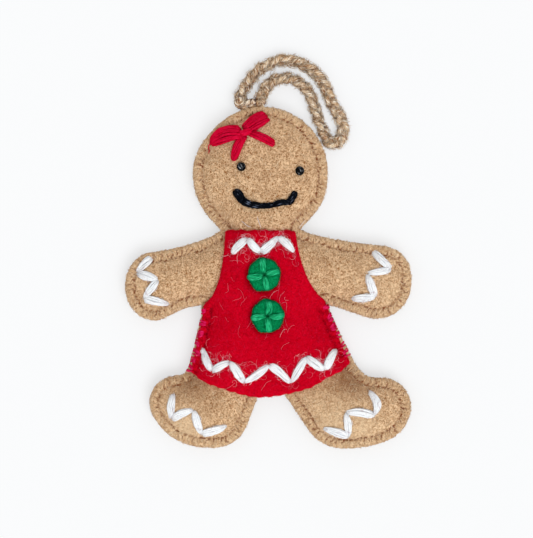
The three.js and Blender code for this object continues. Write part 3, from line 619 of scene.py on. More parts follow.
class Recipe(Wiring):
    """A Geometry Nodes tree built in code, with named inputs."""

    def __init__(self, name: str) -> None:
        """Start a tree with a geometry in and out and a material.

        Args:
            name: The tree's name.
        """
        self.tree = bpy.data.node_groups.new(name, "GeometryNodeTree")
        self.tree.interface.new_socket("Geometry", in_out="OUTPUT", socket_type="NodeSocketGeometry")
        self.named: dict[str, str] = {}
        self.input("Geometry", "NodeSocketGeometry")
        self.input("Finish", "NodeSocketMaterial")
        self.source = self.add("NodeGroupInput")
        self.result = self.add("NodeGroupOutput")

    def input(self, name: str, kind: str) -> None:
        """Add a named input."""
        socket = self.tree.interface.new_socket(name, in_out="INPUT", socket_type=kind)
        self.named[name] = socket.identifier

    def given(self, name: str) -> Socket:
        """Read a named input."""
        return self.source.outputs[name]

    def stored(self, name: str) -> Socket:
        """Read a value stored on the geometry."""
        node = self.add("GeometryNodeInputNamedAttribute", {"Name": name}, data_type="FLOAT")
        return node.outputs["Attribute"]

    def store(
        self, geometry: object, name: str, value: object, kind: str = "FLOAT", domain: str = "POINT"
    ) -> bpy.types.Node:
        """Store a value on the geometry.

        Args:
            geometry: The geometry.
            name: The value's name.
            value: The value.
            kind: Its data type.
            domain: What it is stored on.

        Returns:
            The node that gives the geometry with the value.
        """
        feeds = {"Geometry": geometry, "Name": name, "Value": value}
        return self.add("GeometryNodeStoreNamedAttribute", feeds, data_type=kind, domain=domain)

    def close(self, geometry: object) -> None:
        """End the tree: realize, keep all above the table, smooth, set the material."""
        real = self.add("GeometryNodeRealizeInstances", {0: geometry})
        place = self.add("ShaderNodeSeparateXYZ", {0: self.add("GeometryNodeInputPosition")}).outputs
        height = self.larger(place[2], TABLE_GAP * MM)
        above = self.add("ShaderNodeCombineXYZ", {0: place[0], 1: place[1], 2: height})
        raised = self.add("GeometryNodeSetPosition", {"Geometry": real, "Position": above})
        smooth = self.add("GeometryNodeSetShadeSmooth", {0: raised})
        feeds = {"Geometry": smooth, "Material": self.given("Finish")}
        self.join(self.add("GeometryNodeSetMaterial", feeds), self.result.inputs[0])

    def run(self, name: str, base: bpy.types.Mesh, **values: object) -> bpy.types.Object:
        """Run the tree on a mesh and keep the result as a plain object.

        Args:
            name: The new piece's name.
            base: The mesh that the tree starts from.
            values: The tree's inputs by name.

        Returns:
            The finished piece.
        """
        carrier = show(name, base)
        modifier = carrier.modifiers.new("recipe", "NODES")
        modifier.node_group = self.tree
        for label, value in values.items():
            modifier[self.named[label]] = value
        seen = carrier.evaluated_get(bpy.context.evaluated_depsgraph_get())
        mesh = bpy.data.meshes.new_from_object(seen)
        carrier.modifiers.clear()
        carrier.data = mesh
        mesh.name = name
        bpy.data.meshes.remove(base)
        return carrier


class StrandRecipe(Recipe):
    """Sweeps guide lines into round strands of yarn."""

    def __init__(self) -> None:
        """Build the tree."""
        super().__init__("yarn strands")
        self.input("Sides", "NodeSocketInt")
        self.input("Twist", "NodeSocketFloat")
        line = self.add("GeometryNodeMeshToCurve", {0: self.given("Geometry")})
        along = self.times(self.add("GeometryNodeSplineParameter").outputs["Length"], 1 / MM)
        turn = self.times(self.add("GeometryNodeSplineParameter").outputs["Factor"], 2 * math.pi)
        circle = self.add("GeometryNodeCurvePrimitiveCircle", {
            "Resolution": self.given("Sides"), "Radius": 1.0})
        sweep = self.add("GeometryNodeCurveToMesh", {
            "Curve": self.store(line, "along", along),
            "Profile Curve": self.store(circle, "around", turn),
            "Scale": self.stored("strand_radius"), "Fill Caps": True})
        wound = self.times(self.stored("along"), self.given("Twist"))
        angle = self.plus(self.stored("around"), wound)
        drawn = self.times(self.stored("along"), FIBRE_STRETCH)
        grain = self.add("ShaderNodeCombineXYZ", {
            0: self.plus(drawn, self.stored("strand_seed")),
            1: self.times(self.math("COSINE", angle), 0.5),
            2: self.times(self.math("SINE", angle), 0.5)})
        marked = self.store(sweep, "strand_grain", grain, "FLOAT_VECTOR")
        toned = self.store(marked, "fibre_tone", self.stored("strand_seed"))
        facing = self.add("ShaderNodeSeparateXYZ", {0: self.add("GeometryNodeInputNormal")})
        self.close(self.store(toned, "facing_up", facing.outputs[2]))


class FuzzRecipe(Recipe):
    """Scatters short closed fibres over a surface."""

    def __init__(self) -> None:
        """Build the tree."""
        super().__init__("loose fibres")
        self.input("Fibre", "NodeSocketObject")
        for name in ("Density", "Length", "Thickness", "Lift"):
            self.input(name, "NodeSocketFloat")
        self.input("Seed", "NodeSocketInt")
        scatter = self.add("GeometryNodeDistributePointsOnFaces", {
            "Mesh": self.given("Geometry"), "Seed": self.given("Seed")})
        wanted = self.times(self.given("Density"), self.stored("nap"))
        self.join(wanted, scatter.inputs["Density"])
        fibre = self.add("GeometryNodeObjectInfo", {"Object": self.given("Fibre")})
        roll, tilt = FIBRE_TURNS
        spin = self.chance("FLOAT_VECTOR", (-roll, -tilt, -math.pi), (roll, tilt, math.pi), 1)
        facing = self.add("FunctionNodeRotateRotation", {0: scatter.outputs["Rotation"], 1: spin},
                          rotation_space="LOCAL")
        stretch = self.add("ShaderNodeCombineXYZ", {
            0: self.times(self.given("Length"), self.chance("FLOAT", 0.5, 1.4, 2)),
            1: self.times(self.given("Length"), self.chance("FLOAT", -1.0, 1.0, 3)),
            2: self.given("Thickness")})
        away = self.add("ShaderNodeVectorMath", {
            0: scatter.outputs["Normal"], "Scale": self.given("Lift")}, operation="SCALE")
        points = self.add("GeometryNodeSetPosition", {
            "Geometry": scatter.outputs["Points"], "Offset": away})
        put = self.add("GeometryNodeInstanceOnPoints", {
            "Points": points, "Instance": fibre.outputs["Geometry"], "Rotation": facing,
            "Scale": stretch})
        tone = self.chance("FLOAT", 0.0, 1.0, 4)
        self.close(self.store(put, "fibre_tone", tone, domain="INSTANCE"))

    def chance(self, kind: str, low: object, high: object, salt: int) -> Socket:
        """Give a random value that keeps to the tree's seed.

        Args:
            kind: The value's data type.
            low: The lowest value.
            high: The highest value.
            salt: A number that sets this draw apart from others.

        Returns:
            The random value.
        """
        first, output = {"FLOAT_VECTOR": (0, 0), "FLOAT": (2, 1)}[kind]
        feeds = {first: low, first + 1: high, "Seed": self.plus(self.given("Seed"), salt)}
        return self.add("FunctionNodeRandomValue", feeds, data_type=kind).outputs[output]


def store_values(mesh: bpy.types.Mesh, values: dict[str, np.ndarray]) -> None:
    """Store values at a mesh's points by name."""
    for label, value in values.items():
        stored = mesh.attributes.new(label, "FLOAT", "POINT")
        stored.data.foreach_set("value", np.asarray(value, dtype=np.float32))


def show(name: str, mesh: bpy.types.Mesh, finish: bpy.types.Material | None = None) -> bpy.types.Object:
    """Put a mesh in the scene.

    Args:
        name: The new object's name.
        mesh: The mesh.
        finish: Its material, if it has one.

    Returns:
        The object.
    """
    if finish:
        mesh.materials.append(finish)
    piece = bpy.data.objects.new(name, mesh)
    bpy.context.scene.collection.objects.link(piece)
    return piece


def write_mesh(
    name: str, points: np.ndarray, faces: Sequence[Sequence[int]], values: dict[str, np.ndarray]
) -> bpy.types.Mesh:
    """Write a smooth mesh in metres.

    Args:
        name: The mesh's name.
        points: Its points in millimetres.
        faces: Its faces as lists of point numbers.
        values: Values to store at its points, by name.

    Returns:
        The mesh.
    """
    mesh = bpy.data.meshes.new(name)
    mesh.from_pydata((np.asarray(points) * MM).tolist(), [], [list(map(int, f)) for f in faces])
    store_values(mesh, values)
    mesh.shade_smooth()
    mesh.update()
    return mesh


def put_on(piece: bpy.types.Object, slot: str, *nodes: str) -> bpy.types.Object:
    """Let a finished piece ride on the body, hide the model's nodes that it replaces, and log its faces.

    Args:
        piece: The piece.
        slot: Not used.
        nodes: The model's nodes that it replaces.

    Returns:
        The piece.
    """
    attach(piece, BODY)
    if nodes:
        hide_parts(*nodes)
    LOG.info("%s: %d faces", piece.name, len(piece.data.polygons))
    return piece


@dataclass
class Strand:
    """The middle line of one strand of yarn, and its radius and painted shade at each point."""

    points: np.ndarray
    radii: np.ndarray
    shade: np.ndarray | float = 0.0


class Yarn:
    """Turns strands into pieces with one shared tree."""

    def __init__(self, finishes: dict[str, bpy.types.Material]) -> None:
        """Build the tree once.

        Args:
            finishes: The finished materials by name.
        """
        self.recipe = StrandRecipe()
        self.finishes = finishes
        self.draw = np.random.default_rng(SEED)

    def spin(
        self, name: str, strands: Sequence[Strand], finish: str, nodes: Sequence[str] = (),
        slot: str = "", sides: int = 7, twist: float = 0.9,
    ) -> bpy.types.Object:
        """Sweep strands into one piece and put it on the body.

        Args:
            name: The piece's name.
            strands: Its strands.
            finish: The name of its finish.
            nodes: The model's nodes that it replaces.
            slot: The name passed on to put_on, where its name isn't the finish's.
            sides: The number of sides of each strand.
            twist: How fast the fibres wind round a strand, in radians for each millimetre.

        Returns:
            The piece.
        """
        points = np.concatenate([strand.points for strand in strands])
        radii = np.concatenate([strand.radii for strand in strands])
        counts = [len(strand.radii) for strand in strands]
        seeds = np.concatenate([np.full(count, self.draw.random()) for count in counts])
        shades = np.concatenate([np.zeros(len(strand.radii)) + strand.shade for strand in strands])
        starts = np.cumsum([0] + counts)
        edges = [(k, k + 1) for a, b in zip(starts[:-1], starts[1:]) for k in range(a, b - 1)]
        guide = bpy.data.meshes.new(name + "_guide")
        guide.from_pydata((points * MM).tolist(), edges, [])
        values = {"strand_radius": radii * MM, "strand_seed": seeds, "strand_shade": shades}
        store_values(guide, values)
        piece = self.recipe.run(name, guide, Sides=sides, Twist=twist, Finish=self.finishes[finish])
        return put_on(piece, slot or finish, *nodes)


@dataclass(frozen=True)
class Coat:
    """A coat of loose fibres: about how many, their size, and how far off the surface they lie."""

    count: int
    length: float
    thickness: float = 0.05
    lift: float = 0.08


CORD_COAT = Coat(9000, 2.7, thickness=0.06, lift=0.34)
FRONT_COAT = Coat(14000, 1.9, lift=0.05)
BACK_COAT = Coat(9000, 1.9, lift=0.05)
DRESS_COAT = Coat(6000, 1.7, thickness=0.04, lift=0.04)
BUTTON_COAT = Coat(500, 1.2, thickness=0.04)
BOW_COAT = Coat(260, 1.5)
WHITE_COAT_EACH = 9
WHITE_COAT_LENGTH = 2.2


class Fuzz:
    """Scatters loose fibres over pieces with one shared tree."""

    def __init__(self, finishes: dict[str, bpy.types.Material]) -> None:
        """Build the tree and the fibre that it repeats.

        Args:
            finishes: The finished materials by name.
        """
        self.recipe = FuzzRecipe()
        self.finishes = finishes
        along = (-0.5, -0.18, 0.18, 0.5)
        bow = (0.0, 0.22, 0.22, 0.0)
        points = [(along[0], bow[0], 0.0)]
        for k in (1, 2):
            for side in range(3):
                angle = 2 * math.pi * side / 3
                across = FIBRE_WIDTH * math.cos(angle)
                points.append((along[k], bow[k] + across, math.sin(angle)))
        points.append((along[3], bow[3], 0.0))
        faces = [(0, 1 + (s + 1) % 3, 1 + s) for s in range(3)]
        faces += [(1 + s, 1 + (s + 1) % 3, 4 + (s + 1) % 3, 4 + s) for s in range(3)]
        faces += [(7, 4 + s, 4 + (s + 1) % 3) for s in range(3)]
        mesh = bpy.data.meshes.new("fibre")
        mesh.from_pydata(points, [], faces)
        self.fibre = show("fibre", mesh)

    def grow(self, name: str, base: bpy.types.Mesh, finish: str, slot: str, coat: Coat) -> None:
        """Grow fibres over a surface and put them on the body.

        Args:
            name: The fibres' name.
            base: The surface, with a value nap where fibres grow.
            finish: The name of their finish.
            slot: The name passed on to put_on.
            coat: How many fibres, and their size.
        """
        surface = base.copy()
        nap = np.zeros(len(surface.vertices), dtype=np.float32)
        surface.attributes["nap"].data.foreach_get("value", nap)
        area = sum(f.area * float(np.mean(nap[list(f.vertices)])) for f in surface.polygons)
        fibres = self.recipe.run(
            name, surface, Fibre=self.fibre, Density=coat.count / area, Length=coat.length * MM,
            Thickness=coat.thickness * MM, Lift=coat.lift * MM, Seed=SEED, Finish=self.finishes[finish])
        put_on(fibres, slot)

    def put_away(self) -> None:
        """Remove the single fibre that was repeated."""
        bpy.data.objects.remove(self.fibre)


def chunks(count: int) -> list[slice]:
    """Cut a row of points into stretches that are short enough to work on at once."""
    return [slice(first, first + CHUNK) for first in range(0, count, CHUNK)]


def unit(ways: np.ndarray) -> np.ndarray:
    """Give ways the length 1."""
    return ways / (np.linalg.norm(ways, axis=-1, keepdims=True) + TINY)


def falloff(distance: np.ndarray, width: float) -> np.ndarray:
    """Fall softly from 1 at no distance to about a third at the width, and on towards 0."""
    return np.exp(-((distance / width) ** 2))


def beside(grid: np.ndarray) -> np.ndarray:
    """Add up the four neighbours of each inner cell of a grid."""
    return grid[:-2, 1:-1] + grid[2:, 1:-1] + grid[1:-1, :-2] + grid[1:-1, 2:]


def off_line(where: np.ndarray, a: np.ndarray, b: np.ndarray) -> np.ndarray:
    """Measure how far points are from the straight line between two ends.

    Args:
        where: The points.
        a: The line's start.
        b: The line's end.

    Returns:
        The distance of each point.
    """
    way = b - a
    share = np.clip((where - a) @ way / max(way @ way, TINY), 0, 1)
    return np.linalg.norm(where - a - share[:, None] * way, axis=1)


@dataclass
class EdgeLine:
    """A closed line in the table's plane, walked anticlockwise, in millimetres."""

    points: np.ndarray
    spans: np.ndarray = field(init=False)
    starts: np.ndarray = field(init=False)

    def __post_init__(self) -> None:
        """Turn the line anticlockwise and measure it."""
        if self.area < 0:
            self.points = self.points[::-1].copy()
        self.spans = np.linalg.norm(np.roll(self.points, -1, 0) - self.points, axis=1)
        self.starts = np.concatenate([[0.0], np.cumsum(self.spans)])

    @property
    def area(self) -> float:
        """The area inside the line, negative where it is walked clockwise."""
        x, y = self.points.T
        return float(np.sum(x * np.roll(y, -1) - np.roll(x, -1) * y)) / 2

    @property
    def length(self) -> float:
        """The line's whole length."""
        return float(self.starts[-1])

    def at(self, arc: np.ndarray) -> np.ndarray:
        """Give the points at distances along the line."""
        arc = np.mod(arc, self.length)
        closed = np.vstack([self.points, self.points[:1]])
        return np.stack([np.interp(arc, self.starts, closed[:, k]) for k in (0, 1)], axis=-1)

    def inward(self, arc: np.ndarray, reach: float = 0.8) -> np.ndarray:
        """Give the unit directions into the shape at distances along the line."""
        way = unit(self.at(arc + reach) - self.at(arc - reach))
        return np.stack([-way[..., 1], way[..., 0]], axis=-1)

    def nearest(self, where: np.ndarray) -> tuple[np.ndarray, np.ndarray]:
        """Find how far points are inside the line, and where along it they are nearest.

        Args:
            where: The points.

        Returns:
            The distance inside, negative outside, and the distance along the line.
        """
        depth, arc = np.empty(len(where)), np.empty(len(where))
        a, b = self.points, np.roll(self.points, -1, 0)
        way = b - a
        square = np.maximum(np.sum(way * way, axis=1), TINY)
        rise = np.where(way[:, 1] == 0, TINY, way[:, 1])
        for part in chunks(len(where)):
            p = where[part, None, :]
            share = np.clip(np.sum((p - a) * way, axis=2) / square, 0.0, 1.0)
            gap = p - (a + share[..., None] * way)
            far = np.sqrt(np.sum(gap * gap, axis=2))
            best = np.argmin(far, axis=1)
            row = np.arange(len(best))
            crossing = way[:, 0] * (p[..., 1] - a[:, 1]) / rise + a[:, 0]
            level = (a[:, 1] > p[..., 1]) != (b[:, 1] > p[..., 1])
            inside = np.sum(level & (p[..., 0] < crossing), axis=1) % 2 == 1
            depth[part] = np.where(inside, 1.0, -1.0) * far[row, best]
            arc[part] = self.starts[best] + share[row, best] * self.spans[best]
        return depth, arc

    def inset(self, depth: float, spacing: float) -> np.ndarray:
        """Give a row of points at a depth inside the line.

        Args:
            depth: The depth.
            spacing: The least distance between two points of the row.

        Returns:
            The points.
        """
        arcs = np.linspace(0, self.length, max(8, int(self.length / spacing)), endpoint=False)
        row = self.at(arcs) + depth * self.inward(arcs)
        row = row[self.nearest(row)[0] > 0.93 * depth]
        kept = [row[0]]
        for point in row[1:]:
            if np.linalg.norm(point - kept[-1]) > 0.7 * spacing:
                kept.append(point)
        return np.array(kept)


def cut_edge(node: bpy.types.Object, spacing: float, growth: float = 0.0) -> EdgeLine:
    """Read the cut edge of a felt node and smooth it.

    Args:
        node: The model's node: a flat piece with an upright cut edge.
        spacing: The distance between points of the smooth line.
        growth: How far the line is moved outwards.

    Returns:
        The edge's line.
    """
    mesh = node.data
    places = np.array([v.co[:] for v in mesh.vertices]) / MM
    keys = [tuple(np.round(p, 3)) for p in places]
    upright, under = set(), []
    for face in mesh.polygons:
        corners = [keys[v] for v in face.vertices]
        pairs = list(zip(corners, corners[1:] + corners[:1]))
        if abs(face.normal.z) < 0.2:
            upright.update(frozenset(pair) for pair in pairs)
        elif face.normal.z < 0:
            under += pairs
    follow = {a: b for a, b in under if frozenset((a, b)) in upright}
    ring = [next(iter(follow))]
    while len(ring) <= len(follow) and (following := follow[ring[-1]]) != ring[0]:
        ring.append(following)
    line = np.array(ring)[:, :2]
    before, after = line - np.roll(line, 1, 0), np.roll(line, -1, 0) - line
    cross = before[:, 0] * after[:, 1] - before[:, 1] * after[:, 0]
    sharp = np.abs(np.arctan2(cross, np.sum(before * after, 1))) > SHARP_TURN
    smooth = []
    for k in range(len(line)):
        j = (k + 1) % len(line)
        span = after[k]
        leave = span if sharp[k] else (before[k] + after[k]) / 2
        reach = span if sharp[j] else (before[j] + after[j]) / 2
        for t in np.arange(0, 1, 1 / max(1, round(float(np.linalg.norm(span)) / spacing))):
            smooth.append((2 * t**3 - 3 * t**2 + 1) * line[k] + (t**3 - 2 * t**2 + t) * leave
                          + (3 * t**2 - 2 * t**3) * line[j] + (t**3 - t**2) * reach)
    edge = EdgeLine(np.array(smooth))
    if growth:
        edge = EdgeLine(edge.points - growth * edge.inward(edge.starts[:-1]))
    return edge


@dataclass
class HeightMap:
    """Heights over a grid of the table, read smoothly between its points."""

    low: np.ndarray
    cell: float
    heights: np.ndarray

    @classmethod
    def over(cls, edge: EdgeLine, cell: float, margin: float = 4.0) -> "HeightMap":
        """Make an empty map over the box of a line.

        Args:
            edge: The line.
            cell: The grid's cell.
            margin: The margin round the line's box.

        Returns:
            The map, with zero heights.
        """
        low = edge.points.min(0) - margin
        size = np.ceil((edge.points.max(0) + margin - low) / cell).astype(int) + 1
        return cls(low, cell, np.zeros((size[0], size[1])))

    def places(self) -> np.ndarray:
        """Give the grid's points in rows."""
        i, j = np.meshgrid(*[np.arange(n) for n in self.heights.shape], indexing="ij")
        return np.stack([self.low[0] + i * self.cell, self.low[1] + j * self.cell], -1).reshape(-1, 2)

    def read(self, where: np.ndarray) -> np.ndarray:
        """Read the heights at points."""
        spot = np.clip((where - self.low) / self.cell, 0, np.array(self.heights.shape) - 1.001)
        base = spot.astype(int)
        u, v = (spot - base).T
        i, j = base.T
        h = self.heights
        return ((1 - u) * (1 - v) * h[i, j] + u * (1 - v) * h[i + 1, j]
                + (1 - u) * v * h[i, j + 1] + u * v * h[i + 1, j + 1])

    def soften(self, passes: int) -> "HeightMap":
        """Give a copy with its bumps rubbed down."""
        h = self.heights.copy()
        for _ in range(passes):
            h[1:-1, 1:-1] = (4 * h[1:-1, 1:-1] + beside(h)) / 8
        return HeightMap(self.low, self.cell, h)


def lumps(where: np.ndarray, size: float, seed: int) -> np.ndarray:
    """Give slow random waves of about unit height.

    Args:
        where: The points.
        size: The waves' length.
        seed: The random seed.

    Returns:
        A height for each point.
    """
    draw = np.random.default_rng(SEED + seed)
    total = np.zeros(len(where))
    for _ in range(WAVES):
        angle, phase = draw.uniform(0, 2 * math.pi, 2)
        pace = 2 * math.pi / (size * draw.uniform(0.7, 1.6))
        total += np.sin(pace * (where @ np.array([math.cos(angle), math.sin(angle)])) + phase)
    return total / math.sqrt(WAVES)


def cast(where: np.ndarray, patches: Sequence[Patch]) -> np.ndarray:
    """Give how strongly round soft patches cover points.

    Args:
        where: The points.
        patches: Each patch's middle, radius and strength.

    Returns:
        The strength at each point, from 0 to 1.
    """
    total = np.zeros(len(where))
    for x, y, radius, strength in patches:
        total += strength * np.exp(-np.sum((where - (x, y)) ** 2, axis=1) / radius**2)
    return np.clip(total, 0, 1)


@dataclass
class FeltCut:
    """The flat cut of a felt piece: its points, its triangles and its outer ring."""

    points: np.ndarray
    triangles: np.ndarray
    ring: np.ndarray

    @classmethod
    def lay(cls, edge: EdgeLine, depths: Sequence[float], row_gap: float, grid: float) -> "FeltCut":
        """Cover the inside of a line with even triangles.

        Args:
            edge: The line.
            depths: The depths of the rows of points along the edge.
            row_gap: The distance between the points of a row.
            grid: The distance between the points of the middle.

        Returns:
            The cut.
        """
        count = max(12, int(edge.length / row_gap))
        outer = edge.at(np.linspace(0, edge.length, count, endpoint=False))
        rows = [edge.inset(depth, row_gap * (1 + 0.12 * k)) for k, depth in enumerate(depths)]
        low, high = edge.points.min(0), edge.points.max(0)
        step = grid * math.sqrt(3) / 2
        lines = []
        for k, y in enumerate(np.arange(low[1], high[1], step)):
            x = np.arange(low[0] + (k % 2) * grid / 2, high[0], grid)
            lines.append(np.stack([x, np.full(len(x), y)], -1))
        middle = np.concatenate(lines)
        middle = middle[edge.nearest(middle)[0] > depths[-1] + 0.6 * grid]
        every = np.concatenate([outer, *rows, middle])
        border = [(k, (k + 1) % count) for k in range(count)]
        result = delaunay_2d_cdt([Vector(p) for p in every], border, [], 0, 1e-5, True)
        places, _, faces, origins = result[:4]
        number = {old: new for new, olds in enumerate(origins) for old in olds}
        points, triangles = np.array([p[:] for p in places]), np.array(faces)
        kept = EdgeLine(outer).nearest(points[triangles].mean(axis=1))[0] > 0
        return cls(points, triangles[kept], np.array([number[k] for k in range(count)]))

    def edge_depth(self) -> np.ndarray:
        """Give how far each point lies inside the cut's outer ring."""
        return EdgeLine(self.points[self.ring]).nearest(self.points)[0]

    def shell(
        self, bottom: np.ndarray, top: np.ndarray, bulge: float
    ) -> tuple[np.ndarray, list[Sequence[int]]]:
        """Close the cut into a felt sheet with a rounded cut edge.

        Args:
            bottom: The underside's heights.
            top: The upper side's heights.
            bulge: How far the cut edge swells outwards at half its height.

        Returns:
            The points and faces of the closed sheet.
        """
        n, ring = len(self.points), self.ring
        rim = self.points[ring]
        way = unit(np.roll(rim, -1, 0) - np.roll(rim, 1, 0))
        out = np.stack([way[:, 1], -way[:, 0]], -1)
        levels = []
        for share, reach in EDGE_LEVELS:
            height = bottom[ring] + share * (top[ring] - bottom[ring])
            levels.append(np.column_stack([rim + reach * bulge * out, height]))
        points = np.concatenate([np.column_stack([self.points, top]),
                                 np.column_stack([self.points, bottom]), *levels])
        faces: list[Sequence[int]] = [tuple(t) for t in self.triangles]
        faces += [(t[2] + n, t[1] + n, t[0] + n) for t in self.triangles]
        m = len(ring)
        between = [2 * n + k * m + np.arange(m) for k in range(len(EDGE_LEVELS))]
        rows = [ring + n, *between, ring]
        for lower, upper in zip(rows[:-1], rows[1:]):
            for k in range(m):
                j = (k + 1) % m
                faces.append((lower[k], lower[j], upper[j], upper[k]))
        return points, faces


    def spread(
        self, top: np.ndarray | float, bottom: np.ndarray | float, rim: np.ndarray | float
    ) -> np.ndarray:
        """Give one value for each point of the closed sheet.

        Args:
            top: The value on the upper side.
            bottom: The value on the underside.
            rim: The value round the cut edge.

        Returns:
            The values in the order of the sheet's points.
        """
        face, ring = np.zeros(len(self.points)), np.zeros(len(self.ring))
        return np.concatenate([face + top, face + bottom] + [ring + rim] * len(EDGE_LEVELS))


def blow_cloth(cut: FeltCut, apart: np.ndarray) -> np.ndarray:
    """Blow up two cloth panels that are joined at their edge.

    Args:
        cut: The panels' flat cut.
        apart: How far each panel starts from the plane of the seam, at the cut's points.

    Returns:
        How high the front panel ends up at the cut's points.
    """
    points, faces = cut.shell(-apart, apart, 0.0)
    pillow = show("cloth", write_mesh("cloth", points * CLOTH_SCALE, faces, {}))
    scene = bpy.context.scene
    cloth = pillow.modifiers.new("cloth", "CLOTH").settings
    cloth.use_pressure = True
    cloth.uniform_pressure_force = CLOTH_PRESSURE
    cloth.effector_weights.gravity = 0.0
    cloth.tension_stiffness = cloth.compression_stiffness = CLOTH_TENSION
    cloth.bending_stiffness = CLOTH_BENDING
    for number in range(1, CLOTH_FRAMES + 1):
        scene.frame_set(number)
    seen = pillow.evaluated_get(bpy.context.evaluated_depsgraph_get())
    heights = np.array([v.co.z for v in seen.data.vertices[:len(cut.points)]]) / (MM * CLOTH_SCALE)
    bpy.data.objects.remove(pillow)
    scene.frame_set(1)
    return heights


def settled(level: np.ndarray) -> np.ndarray:
    """Lay an underside softly on the table where it would sink below it."""
    return REST_SOFTNESS * np.log1p(np.exp(np.clip(level / REST_SOFTNESS, -40, 40)))


@dataclass
class Body:
    """The stuffed body: a front and a back panel of tan felt, sewn together round the edge."""

    edge: EdgeLine
    dress: EdgeLine
    stitch_gap: float = 2.85
    side_gap: float = 3.2
    sewn_from: float = -31.6
    sewn_from_right: float = -24.6
    sewn_to: float = -9.8
    hole_depth: float = 2.5
    scallop: float = 0.17
    groove: float = 0.1
    lump_height: float = 0.16
    fine_lumps: float = 0.06
    puff_height: float = 0.13
    rounding: float = 0.5
    hole_dip: float = 0.2
    seam_dip: float = 0.12
    holes: list[Patch] = field(default_factory=list)
    presses: list[tuple[np.ndarray, np.ndarray, float]] = field(default_factory=list)

    def __post_init__(self) -> None:
        """Blow up the swell and set out the stitches."""
        self.swell_map = self.blow_up()
        self.swell_map = self.plump_up(self.swell_map)
        self.set_out_stitches()

    def blow_up(self) -> HeightMap:
        """Work out how full the figure is, from a film blown up over its seam line."""
        film = HeightMap.over(self.edge, FILM_CELL)
        depth = self.edge.nearest(film.places())[0].reshape(film.heights.shape)
        inside = depth > SEAM_WIDTH
        h = film.heights
        for _ in range(FILM_PASSES):
            h[1:-1, 1:-1] = (beside(h) + film.cell**2) / 4
            h[~inside] = 0.0
        film.heights = (1 - np.exp(-h / PUFF_SOFTNESS)) ** PUFF_SHAPE
        return film.soften(3)

    def plump_up(self, film: HeightMap) -> HeightMap:
        """Mix into the film the folds of a cloth pillow, blown up over the seam line.

        Only how high the front cloth ends up is kept, so the outline stays as it is.

        Args:
            film: How full the figure is without folds.

        Returns:
            How full it is with them.
        """
        seam = EdgeLine(self.edge.inset(SEAM_WIDTH - 0.6, 1.0))
        cut = FeltCut.lay(seam, (1.2, 2.6), 1.6, 2.0)
        apart = 0.15 + 0.9 * (1 - np.exp(-np.clip(seam.nearest(cut.points)[0], 0, None) / 3.0))
        rise = blow_cloth(cut, apart)
        cover = HeightMap(film.low, film.cell, np.zeros(film.heights.shape))
        places = cover.places()
        mean = np.zeros(len(places))
        for part in chunks(len(places)):
            far = np.linalg.norm(places[part, None] - cut.points, axis=2)
            weight = falloff(far, CLOTH_BLUR) + TINY
            mean[part] = (weight * rise).sum(1) / weight.sum(1)
        folds = mean.reshape(film.heights.shape) / np.percentile(rise, 97)
        share = CLOTH_SHARE * np.clip(film.heights / 0.2, 0, 1)
        film.heights += share * (np.clip(folds, 0, 1.1) - film.heights)
        return film.soften(2)

    def set_out_stitches(self) -> None:
        """Set out the stitches round the edge, the wider ones where the dress is sewn in."""
        draw = np.random.default_rng(SEED + 7)
        arcs, dress = [], []
        arc = 0.0
        while arc < self.edge.length - 0.6 * self.stitch_gap:
            spot = self.edge.at(np.array([arc]))
            y = spot[0, 1]
            lowest = self.sewn_from if spot[0, 0] < 0 else self.sewn_from_right
            dress.append(bool(self.dress.nearest(spot)[0][0] > -2.6 and lowest < y < self.sewn_to))
            arcs.append(arc)
            arc += (self.side_gap if dress[-1] else self.stitch_gap) * draw.uniform(0.82, 1.18)
        self.stitches, self.sewn_dress = np.array(arcs), np.array(dress)
        count = len(arcs)
        self.leans = draw.normal(0.0, 0.38, count)
        self.reaches = self.hole_depth + 0.3 * self.sewn_dress + draw.normal(0, 0.2, count)
        inward = self.edge.inward(self.stitches)
        self.outer_ends = self.edge.at(self.stitches)
        self.inner_ends = self.edge.at(self.stitches + self.leans) + self.reaches[:, None] * inward

    def near_stitches(self, where: np.ndarray, chosen: np.ndarray) -> tuple[np.ndarray, np.ndarray]:
        """Find how near points are to the chosen stitches.

        Args:
            where: The points.
            chosen: Which stitches count.

        Returns:
            The distance to the nearest stitch's line and to the nearest inner hole.
        """
        a, b = self.outer_ends[chosen], self.inner_ends[chosen]
        way = b - a
        line, hole = np.full(len(where), 99.0), np.full(len(where), 99.0)
        for part in chunks(len(where)):
            p = where[part, None, :]
            share = np.clip(np.sum((p - a) * way, 2) / np.sum(way * way, 1), 0, 1)
            line[part] = np.linalg.norm(p - a - share[..., None] * way, axis=2).min(1)
            hole[part] = np.linalg.norm(p - b, axis=2).min(1)
        return line, hole

    def marks(self, where: np.ndarray) -> tuple[np.ndarray, np.ndarray]:
        """Give what the felt's finish draws the seam from.

        Args:
            where: The points.

        Returns:
            How near the edge each point is, from 1 on it through 0.5 at the stitches' holes to 0,
            and which stitch it is at, with the share of the way to the next.
        """
        depth, arc = self.edge.nearest(where)
        lean = np.interp(arc, self.stitches, self.leans)
        reach = np.interp(arc, self.stitches, self.reaches)
        ends = np.append(self.stitches, self.edge.length)
        spot = arc - lean * np.clip(depth, 0, reach) / reach
        return np.clip(1 - depth / (2 * reach), 0, 1), np.interp(spot, ends, np.arange(len(ends)))

    def pillow(self, arc: np.ndarray) -> np.ndarray:
        """Give how far the felt stands up between stitches, from 0 at a stitch to 1."""
        ends = np.append(self.stitches, self.edge.length)
        index = np.clip(np.searchsorted(ends, arc, side="right") - 1, 0, len(ends) - 2)
        share = (arc - ends[index]) / (ends[index + 1] - ends[index])
        return np.sqrt(np.clip(np.sin(math.pi * np.clip(share, 0, 1)), 0, 1))

